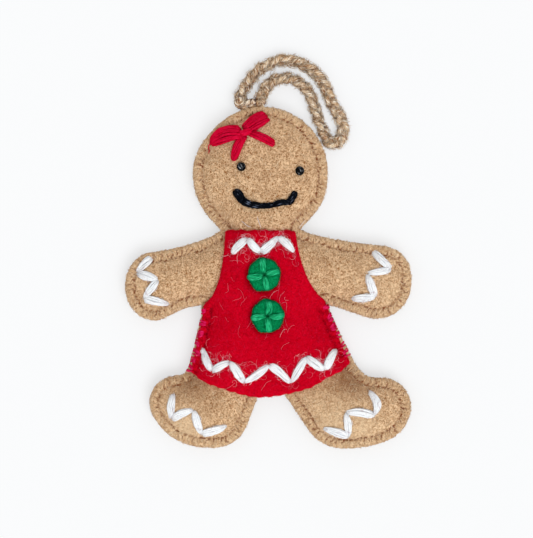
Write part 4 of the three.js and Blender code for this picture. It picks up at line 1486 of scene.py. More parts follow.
    def dents(self, where: np.ndarray) -> np.ndarray:
        """Give how far the trims' stitches press into the felt at points."""
        total = np.zeros(len(where))
        for x, y, depth, width in self.holes:
            total += depth * np.exp(-np.sum((where - (x, y)) ** 2, 1) / (2 * width**2))
        for a, b, depth in self.presses:
            total += depth * falloff(off_line(where, a, b), 1.5)
        return total

    def rim(self, where: np.ndarray) -> tuple[np.ndarray, np.ndarray]:
        """Work out the seam's relief.

        Args:
            where: The points.

        Returns:
            The height added at each point, and the painted shade in the stitches' holes and along the
            seam line.
        """
        depth, arc = self.edge.nearest(where)
        puff, d = self.pillow(arc), np.clip(depth, 0, None)
        reach = np.clip((self.hole_depth + 0.9 - d) / 1.2, 0, 1)
        window = reach * reach * (3 - 2 * reach)
        relief = window * self.puff_height * puff - self.rounding * np.exp(-d / 0.32)
        pit = np.zeros(len(where))
        band = depth < self.hole_depth + 2.2
        line, hole = self.near_stitches(where[band], np.ones(len(self.stitches), bool))
        hollow = falloff(hole, 0.55)
        relief[band] -= self.groove * falloff(line, 0.42) * window[band] + self.hole_dip * hollow
        # painted shade in the stitches' holes, and below it along the seam line
        pit[band] = 0.3 * hollow
        seam = falloff(d - self.hole_depth - 0.2, 0.55)
        relief -= self.seam_dip * seam
        pit += 0.3 * seam * np.clip(0.5 + 0.6 * lumps(where, 6.0, 5), 0, 1)
        return relief, np.clip(pit, 0, 1)

    def front_top(self, where: np.ndarray) -> tuple[np.ndarray, np.ndarray]:
        """Give the front panel's upper heights and the painted shade of its pits at points."""
        relief, pit = self.rim(where)
        swell = self.swell_map.read(where)
        height = RIM_TOP + FRONT_PUFF * swell + relief - self.dents(where)
        height += self.lump_height * np.clip(swell * 2, 0, 1) * lumps(where, 11.0, 1)
        height += self.fine_lumps * lumps(where, 3.6, 2)
        return height, pit

    def back_bottom(self, where: np.ndarray) -> tuple[np.ndarray, np.ndarray]:
        """Give the back panel's lower heights and the painted shade of its pits at points."""
        relief, pit = self.rim(where)
        swell = self.swell_map.read(where)
        height = RIM_UNDERSIDE - BACK_PUFF * swell - relief - 0.05 * lumps(where, 3.6, 3)
        return settled(height), pit

    def sewn_at(self, stitch: np.ndarray) -> np.ndarray:
        """Tell at which counts of stitches the dress is sewn in."""
        return self.sewn_dress[np.clip(np.round(stitch).astype(int), 0, len(self.stitches) - 1)]

    def scalloped(self) -> EdgeLine:
        """Give the edge's line, drawn in at each stitch."""
        arcs = np.arange(0, self.edge.length, 0.4)
        draw_in = self.scallop * (1 - self.pillow(arcs)) - 0.05
        fuzz = 0.05 * np.sin(arcs * 3.1) + 0.04 * np.sin(arcs * 1.3 + 1)
        return EdgeLine(self.edge.at(arcs) + (draw_in + fuzz)[:, None] * self.edge.inward(arcs))


class Side(Enum):
    """Which of the two body panels is meant."""

    FRONT = "front"
    BACK = "back"


def build_panel(body: Body, cut: FeltCut, side: Side, finish: bpy.types.Material,
                covered: EdgeLine) -> bpy.types.Object:
    """Build one body panel as a closed felt sheet.

    Args:
        body: The stuffed body.
        cut: The panels' flat cut.
        side: Which panel.
        finish: Its material.
        covered: The dress's edge, under which the felt grows no loose fibres.

    Returns:
        The panel.
    """
    where = cut.points
    band, stitch = body.marks(where)
    if side is Side.FRONT:
        outer, pit = body.front_top(where)
        inner = np.maximum(outer, RIM_TOP) - FELT_THICKNESS
        points, faces = cut.shell(inner, outer, EDGE_BULGE)
        bare = np.clip(1 - covered.nearest(where)[0] / 1.5, 0, 1) * (1 + band)
        nap, pit_shades = cut.spread(bare, 0.0, 2.5), cut.spread(pit, 0.0, 0.0)
    else:
        outer, pit = body.back_bottom(where)
        inner = np.minimum(outer, RIM_UNDERSIDE) + FELT_THICKNESS
        points, faces = cut.shell(outer, inner, EDGE_BULGE)
        nap, pit_shades = cut.spread(0.0, 1.0, 1.0), cut.spread(0.0, pit, 0.0)
    swell = body.swell_map.read(where)
    # painted light: pale patches, and a paler rim where the felt is less full
    worn = np.maximum(cast(where, PAINTED_LIGHT_PATCHES), 0.22 * np.clip(1 - 2.2 * swell, 0, 1))
    # painted shade: dark patches, and a darker middle where the felt is full
    shade = np.maximum(cast(where, PAINTED_SHADE_PATCHES), 0.1 * swell)
    at_rim = stitch[cut.ring]
    values = {
        "pit": pit_shades, "nap": nap,
        # painted light on the cut edge, stronger where the dress is sewn in
        "worn": cut.spread(worn, worn, np.where(body.sewn_at(at_rim), 0.95, 0.5)),
        "shade": cut.spread(shade, shade, 0.0), "band": cut.spread(band, band, 1.0),
        "stitch": cut.spread(stitch, stitch, at_rim),
    }
    name = f"felt_{side.value}"
    return show(name, write_mesh(name, points, faces, values), finish)


def build_fill(body: Body, finish: bpy.types.Material) -> bpy.types.Object:
    """Build the fibre fill between the panels as one lumpy closed form.

    Args:
        body: The stuffed body.
        finish: Its material.

    Returns:
        The fill.
    """
    inner = EdgeLine(body.edge.inset(SEAM_WIDTH + 2.0, 1.2))
    cut = FeltCut.lay(inner, (0.8, 1.8), 1.4, 2.2)
    where = cut.points
    swell = body.swell_map.read(where)
    top = RIM_TOP + FRONT_PUFF * swell - FELT_THICKNESS - 0.55 - body.dents(where)
    bottom = settled(RIM_UNDERSIDE - BACK_PUFF * swell) + FELT_THICKNESS + FILL_GAP
    top += 0.2 * lumps(where, 5.0, 11) - 0.3
    bottom = np.minimum(bottom, top - FILL_GAP)
    points, faces = cut.shell(bottom, top, 0.2)
    mesh = write_mesh("fibre_fill", points, faces, {"pit": np.zeros(len(points))})
    return show("fibre_fill", mesh, finish)


@dataclass(frozen=True)
class Bundle:
    """How the strands of one stitch lie together."""

    width: float
    strands: int = 7
    rows: int = 2
    flatness: float = 0.42
    pinch: float = 0.42
    tip: float | None = None
    roll: float = 0.5
    arch: float = 0.35
    sink: float = 0.7
    steps: int = 14
    belly: float = 0.5
    sag: float = 0.0
    shaded: float = 0.5
    bluntness: float = 0.55
    taper: float = 0.62
    unlike: float = 0.0
    stagger: float = 0.0

    def lay(
        self, start: Sequence[float], end: Sequence[float], ground: Ground, draw: np.random.Generator
    ) -> list[Strand]:
        """Lay the stitch's strands on a surface between two holes.

        Args:
            start: The first hole.
            end: The second hole.
            ground: Gives the surface's heights at points.
            draw: The random numbers to use.

        Returns:
            The strands.
        """
        a, b = np.array(start, float), np.array(end, float)
        way = (b - a) / np.linalg.norm(b - a)
        side = np.array([-way[1], way[0]])
        t = np.linspace(0, 1, self.steps)
        belly = self.belly + self.unlike * draw.normal()
        swell = np.sin(math.pi * t ** (math.log(0.5) / math.log(belly))) ** self.bluntness
        width = self.width * (1 + self.unlike * draw.normal())
        tip = self.pinch if self.tip is None else self.tip
        ends = self.pinch + (tip - self.pinch) * t
        spread = ends + (1 - ends) * swell
        plunge = self.sink * np.clip(1 - np.minimum(t, 1 - t) / 0.1, 0, 1) ** 1.5
        per_row = math.ceil(self.strands / self.rows)
        radius = width / per_row * PACKING
        bend = (self.sag + draw.normal(0, 0.04) * np.linalg.norm(b - a)) * np.sin(math.pi * t)
        laid = []
        for k in range(self.strands):
            row = k % self.rows
            count = per_row if row == 0 else self.strands - per_row
            place = k // self.rows
            u = (place + 0.5 + draw.normal(0, 0.08)) / max(count, 1) * 2 - 1
            v = row / max(self.rows - 1, 1) * 2 - 1 if self.rows > 1 else 0.0
            turn = self.roll * (t - 0.5) + draw.normal(0, 0.1)
            across = u * np.cos(turn) - 0.5 * v * np.sin(turn)
            up = u * np.sin(turn) * 0.5 + v * np.cos(turn)
            offset = (width / 2 - radius) * spread * across + bend
            offset += draw.normal(0, 0.05) * np.sin(2 * math.pi * t + draw.uniform(0, 6))
            first, last = self.stagger * draw.uniform(-1, 1, 2)
            slip = (first * (1 - t) + last * t)[:, None] * way
            flat = a + t[:, None] * (b - a) + offset[:, None] * side + slip
            thick = self.width * self.flatness
            height = ground(flat) + 0.7 * (radius + thick * (0.5 + 0.5 * up) * spread)
            height += self.arch * swell - plunge - 0.35 * thick * across**2
            radii = radius * (self.taper + (1 - self.taper) * swell) * (1 + draw.normal(0, 0.06))
            # painted shade where the strands pinch into the holes
            shade = np.clip(0.9 - 3.5 * spread * swell, 0, 1) * self.shaded
            laid.append(Strand(np.column_stack([flat, height]), radii, shade))
        return laid


WHITE_STITCH = Bundle(width=3.2, strands=9, pinch=0.2, flatness=0.26, belly=0.45, sink=0.7, arch=0.2,
                      bluntness=0.62, taper=0.4, roll=0.9, shaded=0.25, unlike=0.06, stagger=0.3)
BLACK_STITCH = Bundle(width=2.8, strands=6, pinch=0.58, flatness=0.34, roll=2.4, belly=0.45, shaded=0.0)
CROSS_STITCH = Bundle(width=2.4, strands=9, pinch=0.35, tip=0.4, flatness=0.34, belly=0.6, roll=1.6,
                      taper=0.5, shaded=0.8, unlike=0.06)


def lay_row(
    holes: Sequence[Sequence[float]], bundle: Bundle, ground: Ground,
    draw: np.random.Generator, shortened: float = 0.1,
) -> list[Strand]:
    """Lay a row of stitches from hole to hole.

    Args:
        holes: The holes in order.
        bundle: How each stitch's strands lie.
        ground: Gives the surface's heights at points.
        draw: The random numbers to use.
        shortened: How far each stitch stays clear of its holes' middles.

    Returns:
        The strands of all stitches.
    """
    strands = []
    for a, b in zip(holes[:-1], holes[1:]):
        start, end = np.array(a, float), np.array(b, float)
        way = (end - start) / np.linalg.norm(end - start)
        strands += bundle.lay(start + shortened * way, end - shortened * way, ground, draw)
    return strands


@dataclass
class EdgeSewing:
    """The stitches that wrap the body's edge, tan all round and pink-red where the dress is sewn in."""

    body: Body
    draw: np.random.Generator
    tan_radius: float = 0.16
    dress_radius: float = 0.3
    dress_reach: float = 1.7

    def wrap(self, number: int, cover: Ground) -> list[Strand]:
        """Wrap one stitch round the edge.

        Args:
            number: Which stitch.
            cover: Gives the heights of what lies on top at the edge.

        Returns:
            The stitch's strands.
        """
        body = self.body
        arc, lean, reach = body.stitches[number], body.leans[number], body.reaches[number]
        radius, count, spread = self.tan_radius, 2, 0.05
        if body.sewn_dress[number]:
            radius, count, spread = self.dress_radius, 5, 0.45
            reach = self.dress_reach * self.draw.uniform(0.5, 1.3)
        strands = []
        for k in range(count):
            shift = (k - (count - 1) / 2) * 1.5 * radius + self.draw.normal(0, spread)
            above = [reach + 0.1, reach - 0.1, reach * 0.7, reach * 0.4, 0.25]
            below = [0.25, reach * 0.5, reach - 0.1, reach + 0.15]
            depths = np.array([*above, -0.2, -0.34, -0.34, -0.2, *below])
            slide = lean * np.clip(depths, 0, None) / reach * np.array([1] * 7 + [-1] * 6)
            arcs = arc + shift * (0.5 + 0.5 * np.clip(1 - depths / reach, 0, 1)) + slide
            flat = body.edge.at(arcs) + depths[:, None] * body.edge.inward(np.full(len(arcs), arc))
            top = cover(flat[:5])
            low = body.back_bottom(flat[9:])[0]
            lifts = np.array([-0.6, 0.02, 0.08, 0.08, 0.05])
            height = np.concatenate([
                top + lifts, [top[4] - 0.45, 4.6, 3.1, RIM_UNDERSIDE + 0.3],
                np.maximum(low - np.array([0.0, 0.12, 0.1, -0.5]), radius + 0.02)])
            radii = np.full(len(height), radius) * np.array([0.7] + [1.0] * 11 + [0.7])
            strands.append(Strand(np.column_stack([flat, height]), radii))
        return strands


@dataclass
class Dress:
    """The red felt dress that lies on the front and is sewn in at its sides."""

    edge: EdgeLine
    ground: HeightMap
    body: Body
    clearance: float = 0.28

    def top(self, where: np.ndarray) -> tuple[np.ndarray, np.ndarray]:
        """Give the dress's upper heights and the painted shade of its pits at points."""
        d = np.clip(self.edge.nearest(where)[0], 0, None)
        body = self.body
        gap, arc = body.edge.nearest(where)
        sewn = (where[:, 1] > body.sewn_from - 1) & (where[:, 1] < body.sewn_to + 1)
        band = np.exp(-((np.clip(gap, 0, None) / SEAM_WIDTH) ** 4)) * sewn
        line, hole = body.near_stitches(where, body.sewn_dress)
        groove, hollow = falloff(line, 0.5), falloff(hole, 0.6)
        seam = falloff(gap - body.hole_depth - 0.5, 0.6) * sewn
        height = self.ground.read(where) + self.clearance + DRESS_THICKNESS
        height += band * 0.35 * body.pillow(arc) - 0.3 * groove - 0.4 * hollow - 0.3 * seam
        height -= 0.35 * np.exp(-d / 0.35) + 0.8 * body.dents(where)
        height += 0.16 * lumps(where, 12.0, 21) + 0.06 * lumps(where, 4.0, 22)
        # painted shade in the holes and along the seam line
        pit = 0.5 * hollow + 0.3 * seam
        return height, np.clip(pit, 0, 1)

    def build(self, finish: bpy.types.Material) -> bpy.types.Object:
        """Build the dress as a closed felt sheet."""
        cut = FeltCut.lay(self.edge, (0.3, 0.7, 1.2, 1.8, 2.5), 0.55, 0.85)
        top, pit = self.top(cut.points)
        points, faces = cut.shell(top - DRESS_THICKNESS, top, 0.18)
        # painted shade: dark patches, painted shadows round the buttons, and a dark band under the head's
        # edge
        shade = cast(cut.points, DRESS_SHADES)
        for middle in (UPPER_BUTTON, LOWER_BUTTON):
            # painted shadow of each button, set off towards the lower left
            below = np.array(middle) - (0.4, 0.5)
            away = np.clip(np.linalg.norm(cut.points - below, axis=1) - BUTTON_RADIUS, 0, None)
            shade = np.maximum(shade, 0.95 * falloff(away, 0.8))
        # painted shade under the head's edge along the neckline
        neck = np.clip((cut.points[:, 1] - 13.9) / 0.9, 0, 1)
        shade += 0.55 * neck * (0.6 + 0.4 * lumps(cut.points, 4.0, 23))
        band, stitch = self.body.marks(cut.points)
        sides = band * self.body.sewn_at(stitch)
        values = {
            "pit": cut.spread(pit, 0.0, 0.0), "nap": cut.spread(1.0, 0.0, 1.0),
            # painted highlight on the dress's cut edge
            "worn": cut.spread(0.0, 0.0, 0.7), "shade": cut.spread(np.clip(shade, 0, 1), 0.0, 0.0),
            "band": cut.spread(sides, 0.0, 0.0), "stitch": cut.spread(stitch, 0.0, 0.0),
        }
        return show("red_dress", write_mesh("red_dress", points, faces, values), finish)


@dataclass
class Button:
    """A green felt disc held by a cross of four stitches."""

    name: str
    centre: Spot
    arms: Sequence[Spot]
    radius: float = BUTTON_RADIUS - 0.1
    swell: float = 0.5

    def heights(self, where: np.ndarray, ground: Ground) -> np.ndarray:
        """Give the disc's upper heights at points."""
        around = np.array([[3, 0], [-3, 0], [0, 3], [0, -3]])
        level = float(np.median(ground(np.array([self.centre]) + around)))
        d = np.linalg.norm(where - self.centre, axis=1)
        base = 0.5 * ground(where) + 0.5 * level + 0.12
        rise = BUTTON_THICKNESS + self.swell * np.clip(1 - (d / self.radius) ** 2, 0, 1)
        rise -= 0.45 * np.exp(-np.clip(self.radius - d, 0, None) / 0.45)
        for arm in self.arms:
            rise -= 0.3 * falloff(off_line(where, np.array(self.centre), np.array(arm)), 0.9)
        return base + rise - 0.7 * falloff(d, 0.9)

    def build(self, ground: Ground, finish: bpy.types.Material) -> bpy.types.Object:
        """Build the disc on a surface."""
        angle = np.linspace(0, 2 * math.pi, 90, endpoint=False)
        draw = np.random.default_rng(SEED + len(self.name))
        wobble = sum(draw.normal(0, 0.07) * np.sin(k * angle + draw.uniform(0, 6)) for k in range(2, 9))
        radius = self.radius + wobble
        for x, y in self.arms:
            way = math.atan2(y - self.centre[1], x - self.centre[0])
            turn = np.abs(np.angle(np.exp(1j * (angle - way))))
            radius = radius + 0.16 * falloff(turn, 0.22)
        ring = np.array(self.centre) + np.column_stack([radius * np.cos(angle), radius * np.sin(angle)])
        cut = FeltCut.lay(EdgeLine(ring), (0.25, 0.6, 1.0), 0.36, 0.5)
        top = self.heights(cut.points, ground)
        points, faces = cut.shell(top - 0.9 * BUTTON_THICKNESS, top, 0.14)
        # painted shade round the disc's edge
        rim = 0.8 * np.exp(-np.clip(cut.edge_depth(), 0, None) / 0.35)
        values = {"nap": cut.spread(1.0, 0.0, 1.0), "shade": cut.spread(rim, rim, 0.9)}
        return show(self.name, write_mesh(self.name, points, faces, values), finish)


@dataclass
class HangingCord:
    """The plaited yarn loop, both ends of which go into the seam at the top of the head.

    The plait rolls as it goes round, so that it shows its flat side, then its edge: rolls holds
    the angle at shares of the way.
    """

    width: float = 4.1
    pitch: float = 11.4
    ply_radius: float = 0.4
    plies: int = 6
    strand_radius: float = 1.0
    weave: float = 0.62
    ply_lay: float = 5.2
    spacing: float = 0.42
    rolls: Pairs = (
        (0.0, 0.7), (0.2, 0.9), (0.35, 0.4), (0.5, 0.0), (0.6, 0.3), (0.66, 0.75), (0.79, 0.75),
        (0.85, 0.9), (0.9, 0.6), (0.97, 0.0))

    def route(self) -> np.ndarray:
        """Give the loop's route as smooth points."""
        level = [CORD_DIAMETER / 2] * len(CORD_ROUTE)
        for k, height in enumerate(CORD_END_HEIGHTS):
            level[k] = level[-1 - k] = height
        return self.smooth(np.column_stack([np.array(CORD_ROUTE), level]))

    def smooth(self, knots: np.ndarray) -> np.ndarray:
        """Lead a smooth line through points."""
        line = []
        for k in range(len(knots) - 1):
            p0, p1, p2, p3 = (knots[max(0, min(len(knots) - 1, k + j))] for j in (-1, 0, 1, 2))
            for t in np.arange(0, 1, 0.125):
                line.append(0.5 * ((2 * p1) + (p2 - p0) * t + (2 * p0 - 5 * p1 + 4 * p2 - p3) * t**2
                                   + (3 * p1 - p0 - 3 * p2 + p3) * t**3))
        line.append(knots[-1])
        return np.array(line)

    def strands(self, route: np.ndarray, draw: np.random.Generator) -> list[Strand]:
        """Plait three strands, each of a few plies, along a route.

        Args:
            route: The route's points.
            draw: The random numbers to use.

        Returns:
            The plies.
        """
        arc = np.concatenate([[0], np.cumsum(np.linalg.norm(np.diff(route, axis=0), axis=1))])
        s = np.linspace(0, arc[-1], int(arc[-1] / self.spacing))
        line = np.column_stack([np.interp(s, arc, route[:, k]) for k in range(3)])
        way = unit(np.gradient(line, axis=0))
        side = unit(np.column_stack([-way[:, 1], way[:, 0], np.zeros(len(s))]))
        up = np.cross(way, side)
        up[up[:, 2] < 0] *= -1
        shares, angles = np.array(self.rolls).T
        roll = np.interp(s / arc[-1], shares, angles)[:, None]
        side, up = np.cos(roll) * side + np.sin(roll) * up, np.cos(roll) * up - np.sin(roll) * side
        swing = self.width / 2 - self.strand_radius
        cores = []
        for strand in range(3):
            phase = 2 * math.pi * (s / self.pitch + strand / 3)
            rise = self.weave * np.sin(2 * phase) - 0.2
            cores.append(line + (swing * np.sin(phase))[:, None] * side + rise[:, None] * up)
        made = []
        for strand, core in enumerate(cores):
            lean = unit(np.gradient(core, axis=0))
            across = np.cross(lean, up)
            upward = np.cross(across, lean)
            for ply in range(self.plies):
                turn = 2 * math.pi * (s / self.ply_lay + ply / self.plies) + strand
                wander = 1 + 0.12 * np.sin(s * 0.9 + ply * 2.1 + strand)
                ring = (self.strand_radius - self.ply_radius) * wander
                points = core + (ring * np.cos(turn))[:, None] * across
                points += (ring * np.sin(turn))[:, None] * upward
                points[:, 2] = np.maximum(points[:, 2], self.ply_radius + TABLE_GAP)
                radii = self.ply_radius * (1 + 0.1 * np.sin(s * 1.7 + draw.uniform(0, 6)))
                shade = self.shadow(points, [other for other in cores if other is not core])
                made.append(Strand(points, radii, shade))
        return made

    def shadow(self, points: np.ndarray, others: Sequence[np.ndarray]) -> np.ndarray:
        """Give how deep a ply's points lie in the gaps under and beside the other strands.

        Args:
            points: The ply's points.
            others: The other strands' middle lines, with as many points.

        Returns:
            The shade at each point, from 0 to 1.
        """
        shade = np.zeros(len(points))
        for other in others:
            for shift in range(-7, 8):
                near = other[np.clip(np.arange(len(points)) + shift, 0, len(points) - 1)]
                aside = np.linalg.norm((points - near)[:, :2], axis=1) - 0.85 * self.strand_radius
                under = np.clip((near[:, 2] - points[:, 2] + 0.3) / 0.7, 0, 1)
                shade = np.maximum(shade, under * falloff(np.clip(aside, 0, None), 0.75))
        return shade


def evenly(mesh: bpy.types.Mesh) -> bpy.types.Mesh:
    """Let fibres grow all over a mesh, and give it back."""
    store_values(mesh, {"nap": np.ones(len(mesh.vertices))})
    return mesh


def wind_knot(centre: Sequence[float], level: float, radius: float, thread: float) -> Strand:
    """Wind a thread into a small round knot.

    Args:
        centre: Where it sits.
        level: The height of its middle.
        radius: The knot's radius.
        thread: The thread's radius.

    Returns:
        The thread.
    """
    t = np.linspace(0, 1, 150)
    lap, lean = 2 * math.pi * KNOT_LAPS * t, math.pi * KNOT_TURNS * t
    ring = np.column_stack([np.cos(lap), np.sin(lap), np.zeros(len(t))])
    x = ring[:, 0]
    y = ring[:, 1] * np.cos(lean * 0.9 + 0.5)
    z = ring[:, 1] * np.sin(lean * 0.9 + 0.5)
    cosine, sine = np.cos(lean), np.sin(lean)
    spun = np.column_stack([x * cosine - y * sine, x * sine + y * cosine, z])
    reach = radius - thread
    points = np.array([centre[0], centre[1], level]) + spun * np.array([reach, reach, reach * 0.75])
    return Strand(points, np.full(len(t), thread))


def curl(
    start: np.ndarray, heading: float, length: float, bend: float, draw: np.random.Generator,
    ground: Ground, radius: float, lift: float, waver: float = 0.25,
) -> Strand:
    """Lay one curly stray fibre on a surface.

    Args:
        start: Where it starts.
        heading: Which way it sets off, in radians.
        length: Its length.
        bend: How tightly it curls.
        draw: The random numbers to use.
        ground: Gives the surface's heights at points.
        radius: Its radius.
        lift: How far it stands off the surface.
        waver: How much its way changes at random from point to point.

    Returns:
        The fibre.
    """
    count = 16
    wound = bend * length / count
    turns = heading + np.cumsum(draw.normal(0, waver, count) + math.copysign(wound, draw.normal()))
    steps = np.column_stack([np.cos(turns), np.sin(turns)]) * length / count
    flat = np.array(start) + np.cumsum(steps, axis=0)
    rise = lift * (0.4 + np.sin(np.linspace(0.2, 3.0, count)))
    radii = radius * np.sin(np.linspace(0.45, math.pi - 0.3, count)) ** 0.5
    return Strand(np.column_stack([flat, ground(flat) + radius + rise]), radii)


def make_camera() -> None:
    """Aim a long lens straight down at the ornament."""
    tall = PHOTO_HEIGHT * PIXEL_SIZE
    data = bpy.data.cameras.new("camera")
    data.lens, data.sensor_width = LENS, SENSOR
    camera = bpy.data.objects.new("camera", data)
    away = tall / SENSOR * LENS + VIEW_LEVEL
    camera.location = (VIEW_CENTRE[0] * MM, VIEW_CENTRE[1] * MM, away * MM)
    data.clip_start, data.clip_end = 0.01, 10.0
    bpy.context.scene.collection.objects.link(camera)
    bpy.context.scene.camera = camera


def make_surroundings() -> None:
    """Lay the pale table and hang the soft light."""
    mesh = bpy.data.meshes.new("table")
    corners = [(x * TABLE_REACH, y * TABLE_REACH, 0) for x, y in ((-1, -1), (1, -1), (1, 1), (-1, 1))]
    mesh.from_pydata(corners, [], [(0, 1, 2, 3)])
    table = show("table", mesh, TABLE.make())
    world = bpy.data.worlds.new("room")
    world.use_nodes = True
    backdrop = world.node_tree.nodes["Background"]
    backdrop.inputs["Color"].default_value = (1.0, 1.0, 1.0, 1.0)
    backdrop.inputs["Strength"].default_value = ROOM_LIGHT
    bpy.context.scene.world = world
    light = bpy.data.lights.new("window", "SUN")
    light.energy, light.angle = WINDOW_LIGHT, math.radians(WINDOW_SPREAD)
    lamp = bpy.data.objects.new("window", light)
    lamp.rotation_euler = (*(math.radians(turn) for turn in WINDOW_TURN), 0)
    bpy.context.scene.collection.objects.link(lamp)
    bpy.context.scene.view_settings.view_transform = "Standard"


class Ornament:
    """The whole ornament, built from its cord and felt out to its last stray fibre."""

    def __init__(self, nodes: dict[str, bpy.types.Object]) -> None:
        """Read the felt's edges and make the finishes.

        Args:
            nodes: The model's nodes.
        """
        self.draw = np.random.default_rng(SEED)
        self.dress_edge = cut_edge(nodes["dress_panel"], 0.5, DRESS_GROWTH)
        self.body = Body(cut_edge(nodes["front_felt"], 0.6, EDGE_GROWTH), self.dress_edge)
        self.dress_edge = self.carry_out()
        self.press_trims()
        finishes = (TAN_FELT, TAN_YARN, RED_FELT, MAGENTA_THREAD, WHITE_YARN, GREEN_FELT, GREEN_YARN,
                    BLACK_THREAD, EYE_THREAD, WHITE_FUZZ, RED_YARN, OATMEAL_YARN, FILL_FIBRE, TAN_FUZZ,
                    RED_FUZZ, GREEN_FUZZ, OATMEAL_FUZZ, STRAY_FUZZ)
        self.finish = {finish.name: finish.make() for finish in finishes}
        self.yarn, self.fuzz = Yarn(self.finish), Fuzz(self.finish)

    def carry_out(self) -> EdgeLine:
        """Carry the dress's sides out to the body's edge where they are sewn in, and let its hem sag."""
        line, body = self.dress_edge.points, self.body
        gap, arc = body.edge.nearest(line)
        y = line[:, 1]
        sewn = np.clip((y - body.sewn_from + 1.5) / 2, 0, 1)
        sewn *= np.clip((body.sewn_to + 3.5 - y) / 3, 0, 1)
        left_bare = 0.3 + 0.75 * np.clip((-15.0 - y) / 9, 0, 1)
        move = np.clip(gap - left_bare, 0, None) * sewn * np.clip(1 - (gap - 1.6) / 1.5, 0, 1)
        line = line - move[:, None] * body.edge.inward(arc)
        x, sag = line[:, 0], np.zeros(len(line))
        for middle, drop, width in HEM_SAG:
            sag += drop * falloff(x - middle, width) * np.clip((-24.0 - y) / 3, 0, 1)
        wave = 0.16 * np.sin(1.9 * x) * np.clip((-28.0 - y) / 3, 0, 1)
        wave += (0.16 * np.sin(1.7 * x) + 0.12 * np.sin(0.75 * x)) * np.clip(y - 13.4, 0, 1)
        return EdgeLine(line - np.column_stack([np.zeros(len(line)), sag + wave]))

    def press_trims(self) -> None:
        """Note where the trims' stitches press into the felt."""
        rows = (NECKLINE, HEM, LEFT_HAND, RIGHT_HAND, LEFT_FOOT, RIGHT_FOOT, SMILE)
        for row in rows:
            self.body.holes += [(x, y, 0.4, 0.9) for x, y in row]
            for a, b in zip(row[:-1], row[1:]):
                self.body.presses.append((np.array(a), np.array(b), 0.22))
        self.body.holes += [(*LEFT_EYE, 0.5, 1.2), (*RIGHT_EYE, 0.5, 1.2), (*BOW_KNOT, 0.6, 1.4)]
        self.body.holes += [(*UPPER_BUTTON, 0.3, 4.0), (*LOWER_BUTTON, 0.3, 4.0)]

    def make_cord(self) -> None:
        """Plait the hanging loop and its two ends in the seam."""
        cord = HangingCord()
        plies, nodes = cord.strands(cord.route(), self.draw), ("hanging_loop",)
        piece = self.yarn.spin("hanging_cord", plies, "oatmeal_yarn", nodes, sides=8, twist=1.1)
        knot = HangingCord(width=3.5, pitch=6.6, ply_radius=0.38, strand_radius=0.92,
                           rolls=((0.0, 0.3), (1.0, 0.3)))
        turn = knot.smooth(np.array([(x, y, CORD_KNOT_HEIGHT) for x, y in CORD_KNOT]))
        tails = knot.strands(turn, self.draw)
        t = np.linspace(-0.3, 3.0, 12)
        height = np.full(len(t), (RIM_UNDERSIDE + RIM_TOP) / 2)
        for root, inside in zip((CORD_ROUTE[0], CORD_ROUTE[-1]), CORD_ROOTS):
            way = np.array(inside) - np.array(root)
            aside = TAIL_SPACING * unit(np.array([way[1], -way[0]]))
            for k in (-1, 0, 1):
                flat = np.array(root) + t[:, None] * way + k * aside
                tails.append(Strand(np.column_stack([flat, height]), np.full(len(t), TAIL_RADIUS)))
        ends = self.yarn.spin("cord_tails", tails, "oatmeal_yarn", ("loop_tail_left", "loop_tail_right"))
        route = [tuple(p * MM for p in point) for point in cord.route()]
        self.fuzz.grow("cord_fuzz", evenly(piece.data), "oatmeal_fuzz", "oatmeal_yarn", CORD_COAT)

    def make_felt(self) -> None:
        """Build the two body panels, the fill and the dress."""
        cut = FeltCut.lay(self.body.scalloped(), PANEL_ROWS, 0.5, 0.9)
        front, back = (build_panel(self.body, cut, side, self.finish["tan_felt"], self.dress_edge)
                       for side in Side)
        fill = build_fill(self.body, self.finish["stuffing"])
        put_on(front, "tan_felt", "front_felt")
        put_on(back, "tan_felt", "back_felt")
        put_on(fill, "stuffing", "stuffing")
        grid = HeightMap.over(self.body.edge, GROUND_CELL)
        places = grid.places()
        depth = self.body.edge.nearest(places)[0]
        heights = self.body.front_top(places)[0]
        grid.heights = np.where(depth > 0.6, heights, RIM_TOP).reshape(grid.heights.shape)
        self.front = grid
        self.dress = Dress(self.dress_edge, grid.soften(DRESS_SOFTENING), self.body)
        panel = self.dress.build(self.finish["red_felt"])
        put_on(panel, "red_felt", "dress_panel")
        self.fuzz.grow("front_fuzz", front.data, "tan_fuzz", "tan_felt", FRONT_COAT)
        self.fuzz.grow("back_fuzz", back.data, "tan_fuzz", "tan_felt", BACK_COAT)
        self.fuzz.grow("dress_fuzz", panel.data, "red_fuzz", "red_felt", DRESS_COAT)

    def on_front(self, where: np.ndarray) -> np.ndarray:
        """Give the front felt's heights at points."""
        return self.front.read(where)

    def on_dress(self, where: np.ndarray) -> np.ndarray:
        """Give the dress's heights at points."""
        return self.dress.top(where)[0]

    def on_felt(self, where: np.ndarray) -> np.ndarray:
        """Give the front felt's exact heights at points, also by its seam."""
        return self.body.front_top(where)[0]

    def on_bow(self, where: np.ndarray) -> np.ndarray:
        """Give the heights at points where the bow's knot sits on its loops."""
        return self.on_front(where) + BOW_RISE

    def cover(self, where: np.ndarray) -> np.ndarray:
        """Give the heights of whichever felt is uppermost at points."""
        over = self.dress_edge.nearest(where)[0] > -0.1
        return np.where(over, self.on_dress(where), self.on_felt(where))

    def sew_edge(self) -> None:
        """Wrap the stitches round the edge."""
        sewing = EdgeSewing(self.body, self.draw)
        tan, pink = [], []
        for number, dress in enumerate(self.body.sewn_dress):
            (pink if dress else tan).extend(sewing.wrap(number, self.cover if dress else self.on_felt))
        edgings = ("edging_left", "edging_right", "edging_lower")
        seams = ("dress_seam_left", "dress_seam_right")
        self.yarn.spin("edge_stitches", tan, "tan_yarn", edgings, sides=6)
        self.yarn.spin("dress_side_stitches", pink, "pink_red_thread", seams)

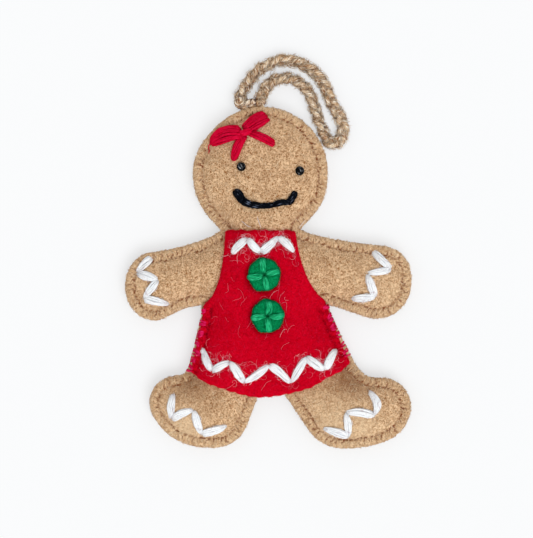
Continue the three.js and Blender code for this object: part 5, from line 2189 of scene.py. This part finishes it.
    def sew_trims(self) -> None:
        """Sew the white zigzags with their fluff, the mouth and the eyes."""
        rows = (("left_hand_trim", LEFT_HAND, "hand_zigzag_left", self.on_front),
                ("right_hand_trim", RIGHT_HAND, "hand_zigzag_right", self.on_front),
                ("left_foot_trim", LEFT_FOOT, "foot_zigzag_left", self.on_front),
                ("right_foot_trim", RIGHT_FOOT, "foot_zigzag_right", self.on_front),
                ("neckline_trim", NECKLINE, "neckline_zigzag", self.on_dress),
                ("hem_trim", HEM, "hem_zigzag", self.on_dress))
        for name, holes, node, ground in rows:
            strands = lay_row(holes, WHITE_STITCH, ground, self.draw)
            piece = self.yarn.spin(name, strands, "white_yarn", (node,))
            coat = Coat(WHITE_COAT_EACH * len(strands), WHITE_COAT_LENGTH)
            self.fuzz.grow(name + "_fuzz", evenly(piece.data), "white_fuzz", "white_yarn", coat)
        smile = []
        for place, width in enumerate(SMILE_WIDTHS):
            black = replace(BLACK_STITCH, width=width)
            smile += lay_row(SMILE[place:place + 2], black, self.on_front, self.draw, -0.35)
        self.yarn.spin("smile", smile, "black_thread", ("mouth",))
        eyes = (("left_eye", LEFT_EYE, "eye_left"), ("right_eye", RIGHT_EYE, "eye_right"))
        for name, spot, node in eyes:
            level = float(self.on_front(np.array([spot]))[0]) + EYE_RISE
            knot = wind_knot(spot, level, EYE_RADIUS, EYE_THREAD_RADIUS)
            self.yarn.spin(name, [knot], "eye_thread", (node,), "black_thread", sides=9)

    def sew_buttons(self) -> None:
        """Cut the two buttons and sew them on."""
        for name, centre, arms, disc_node, cross_node in (
                ("upper_button", UPPER_BUTTON, UPPER_CROSS, "button_upper", "button_upper_stitches"),
                ("lower_button", LOWER_BUTTON, LOWER_CROSS, "button_lower", "button_lower_stitches")):
            button = Button(name, centre, arms)
            disc = button.build(self.on_dress, self.finish["green_felt"])
            put_on(disc, "green_felt", disc_node)
            on_disc = partial(button.heights, ground=self.on_dress)
            strands = []
            for arm in arms:
                inner = np.array(centre) + 0.02 * (np.array(arm) - np.array(centre))
                strands += CROSS_STITCH.lay(inner, arm, on_disc, self.draw)
            self.yarn.spin(name + "_cross", strands, "green_yarn", (cross_node,))
            self.fuzz.grow(name + "_fuzz", disc.data, "green_fuzz", "green_felt", BUTTON_COAT)

    def tie_bow(self) -> None:
        """Lay the red bow's loops, tails and knot."""
        knot = np.array(BOW_KNOT)
        loops = {
            "bow_left_loop": ((-8.4, 47.6), (-19.0, 44.3), "bow_loop_left", Bundle(
                5.9, 18, flatness=0.22, pinch=0.86, tip=0.12, arch=0.9, steps=22, belly=0.45, sag=-1.3)),
            "bow_right_loop": ((-7.4, 48.3), (-0.2, 53.3), "bow_loop_right", Bundle(
                5.5, 18, flatness=0.26, pinch=0.8, tip=0.7, arch=0.9, steps=20, belly=0.6, sag=0.5)),
            "bow_left_tail": (knot + (-0.2, -0.9), (-11.3, 38.2), "bow_tail_left", Bundle(
                3.7, 11, flatness=0.26, pinch=0.5, tip=0.1, arch=0.4, steps=16, belly=0.5, sag=-0.2)),
            "bow_right_tail": (knot + (0.9, -0.2), (2.3, 43.6), "bow_tail_right", Bundle(
                3.3, 11, flatness=0.26, pinch=0.5, tip=0.6, arch=0.4, steps=16, belly=0.6, sag=0.4)),
        }
        for name, (start, end, node, bundle) in loops.items():
            strands = bundle.lay(start, end, self.on_front, self.draw)
            piece = self.yarn.spin(name, strands, "red_yarn", (node,))
            self.fuzz.grow(name + "_fuzz", evenly(piece.data), "red_fuzz", "red_yarn", BOW_COAT)
        wraps = Bundle(2.9, 8, flatness=0.3, pinch=0.8, arch=0.5, sink=1.2, steps=12)
        middle = wraps.lay(knot + (-1.9, -0.5), knot + (1.9, 0.9), self.on_bow, self.draw)
        loose = np.array(BOW_END)
        heights = self.on_front(loose) + 0.25
        middle.append(Strand(np.column_stack([loose, heights]), np.array(BOW_END_RADII)))
        self.yarn.spin("bow_middle", middle, "red_yarn", ("bow_knot",))

    def scatter_strays(self) -> None:
        """Scatter the curly fibres pulled out by sewing."""
        hairs = []
        for row, count in ((HEM, HEM_STRAYS), (NECKLINE, NECKLINE_STRAYS)):
            for a, b in zip(row[:-1], row[1:]):
                for _ in range(count):
                    spot = np.array(a) + self.draw.random() * (np.array(b) - a)
                    spot += self.draw.normal(0, 1.5, 2)
                    hairs.append((spot, self.draw.uniform(1.5, 6.0), self.draw.uniform(0.3, 1.4)))
        for _ in range(DRESS_STRAYS):
            x, y = self.draw.uniform(-20, 22), self.draw.uniform(-36, 12)
            hairs.append((np.array([x, y]), self.draw.uniform(2.0, 6.0), self.draw.uniform(0.05, 0.5)))
        laid = []
        for spot, length, bend in hairs:
            if self.dress_edge.nearest(spot[None])[0][0] < 1.0:
                continue
            heading = self.draw.uniform(0, 6.3)
            laid.append(curl(spot, heading, length, bend, self.draw, self.on_dress, 0.03, 0.12))
        self.yarn.spin("stray_fibres", laid, "stray_fuzz", slot="white_yarn", sides=4)
        chin = []
        for x, y, heading, length in CHIN_HAIRS:
            chin.append(curl((x, y), heading, length, 0.02, self.draw, self.on_front, 0.08, 0.4, 0.07))
        self.yarn.spin("chin_fibres", chin, "white_fuzz", slot="white_yarn", sides=5)


def main() -> None:
    """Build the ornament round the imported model."""
    logging.basicConfig(level=logging.INFO, format="%(name)s %(message)s")
    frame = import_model()
    make_camera()
    ornament = Ornament(frame["nodes"])
    ornament.make_cord()
    ornament.make_felt()
    ornament.sew_edge()
    ornament.sew_trims()
    ornament.sew_buttons()
    ornament.tie_bow()
    ornament.scatter_strays()
    ornament.fuzz.put_away()
    make_surroundings()


if __name__ == "__main__":
    main()
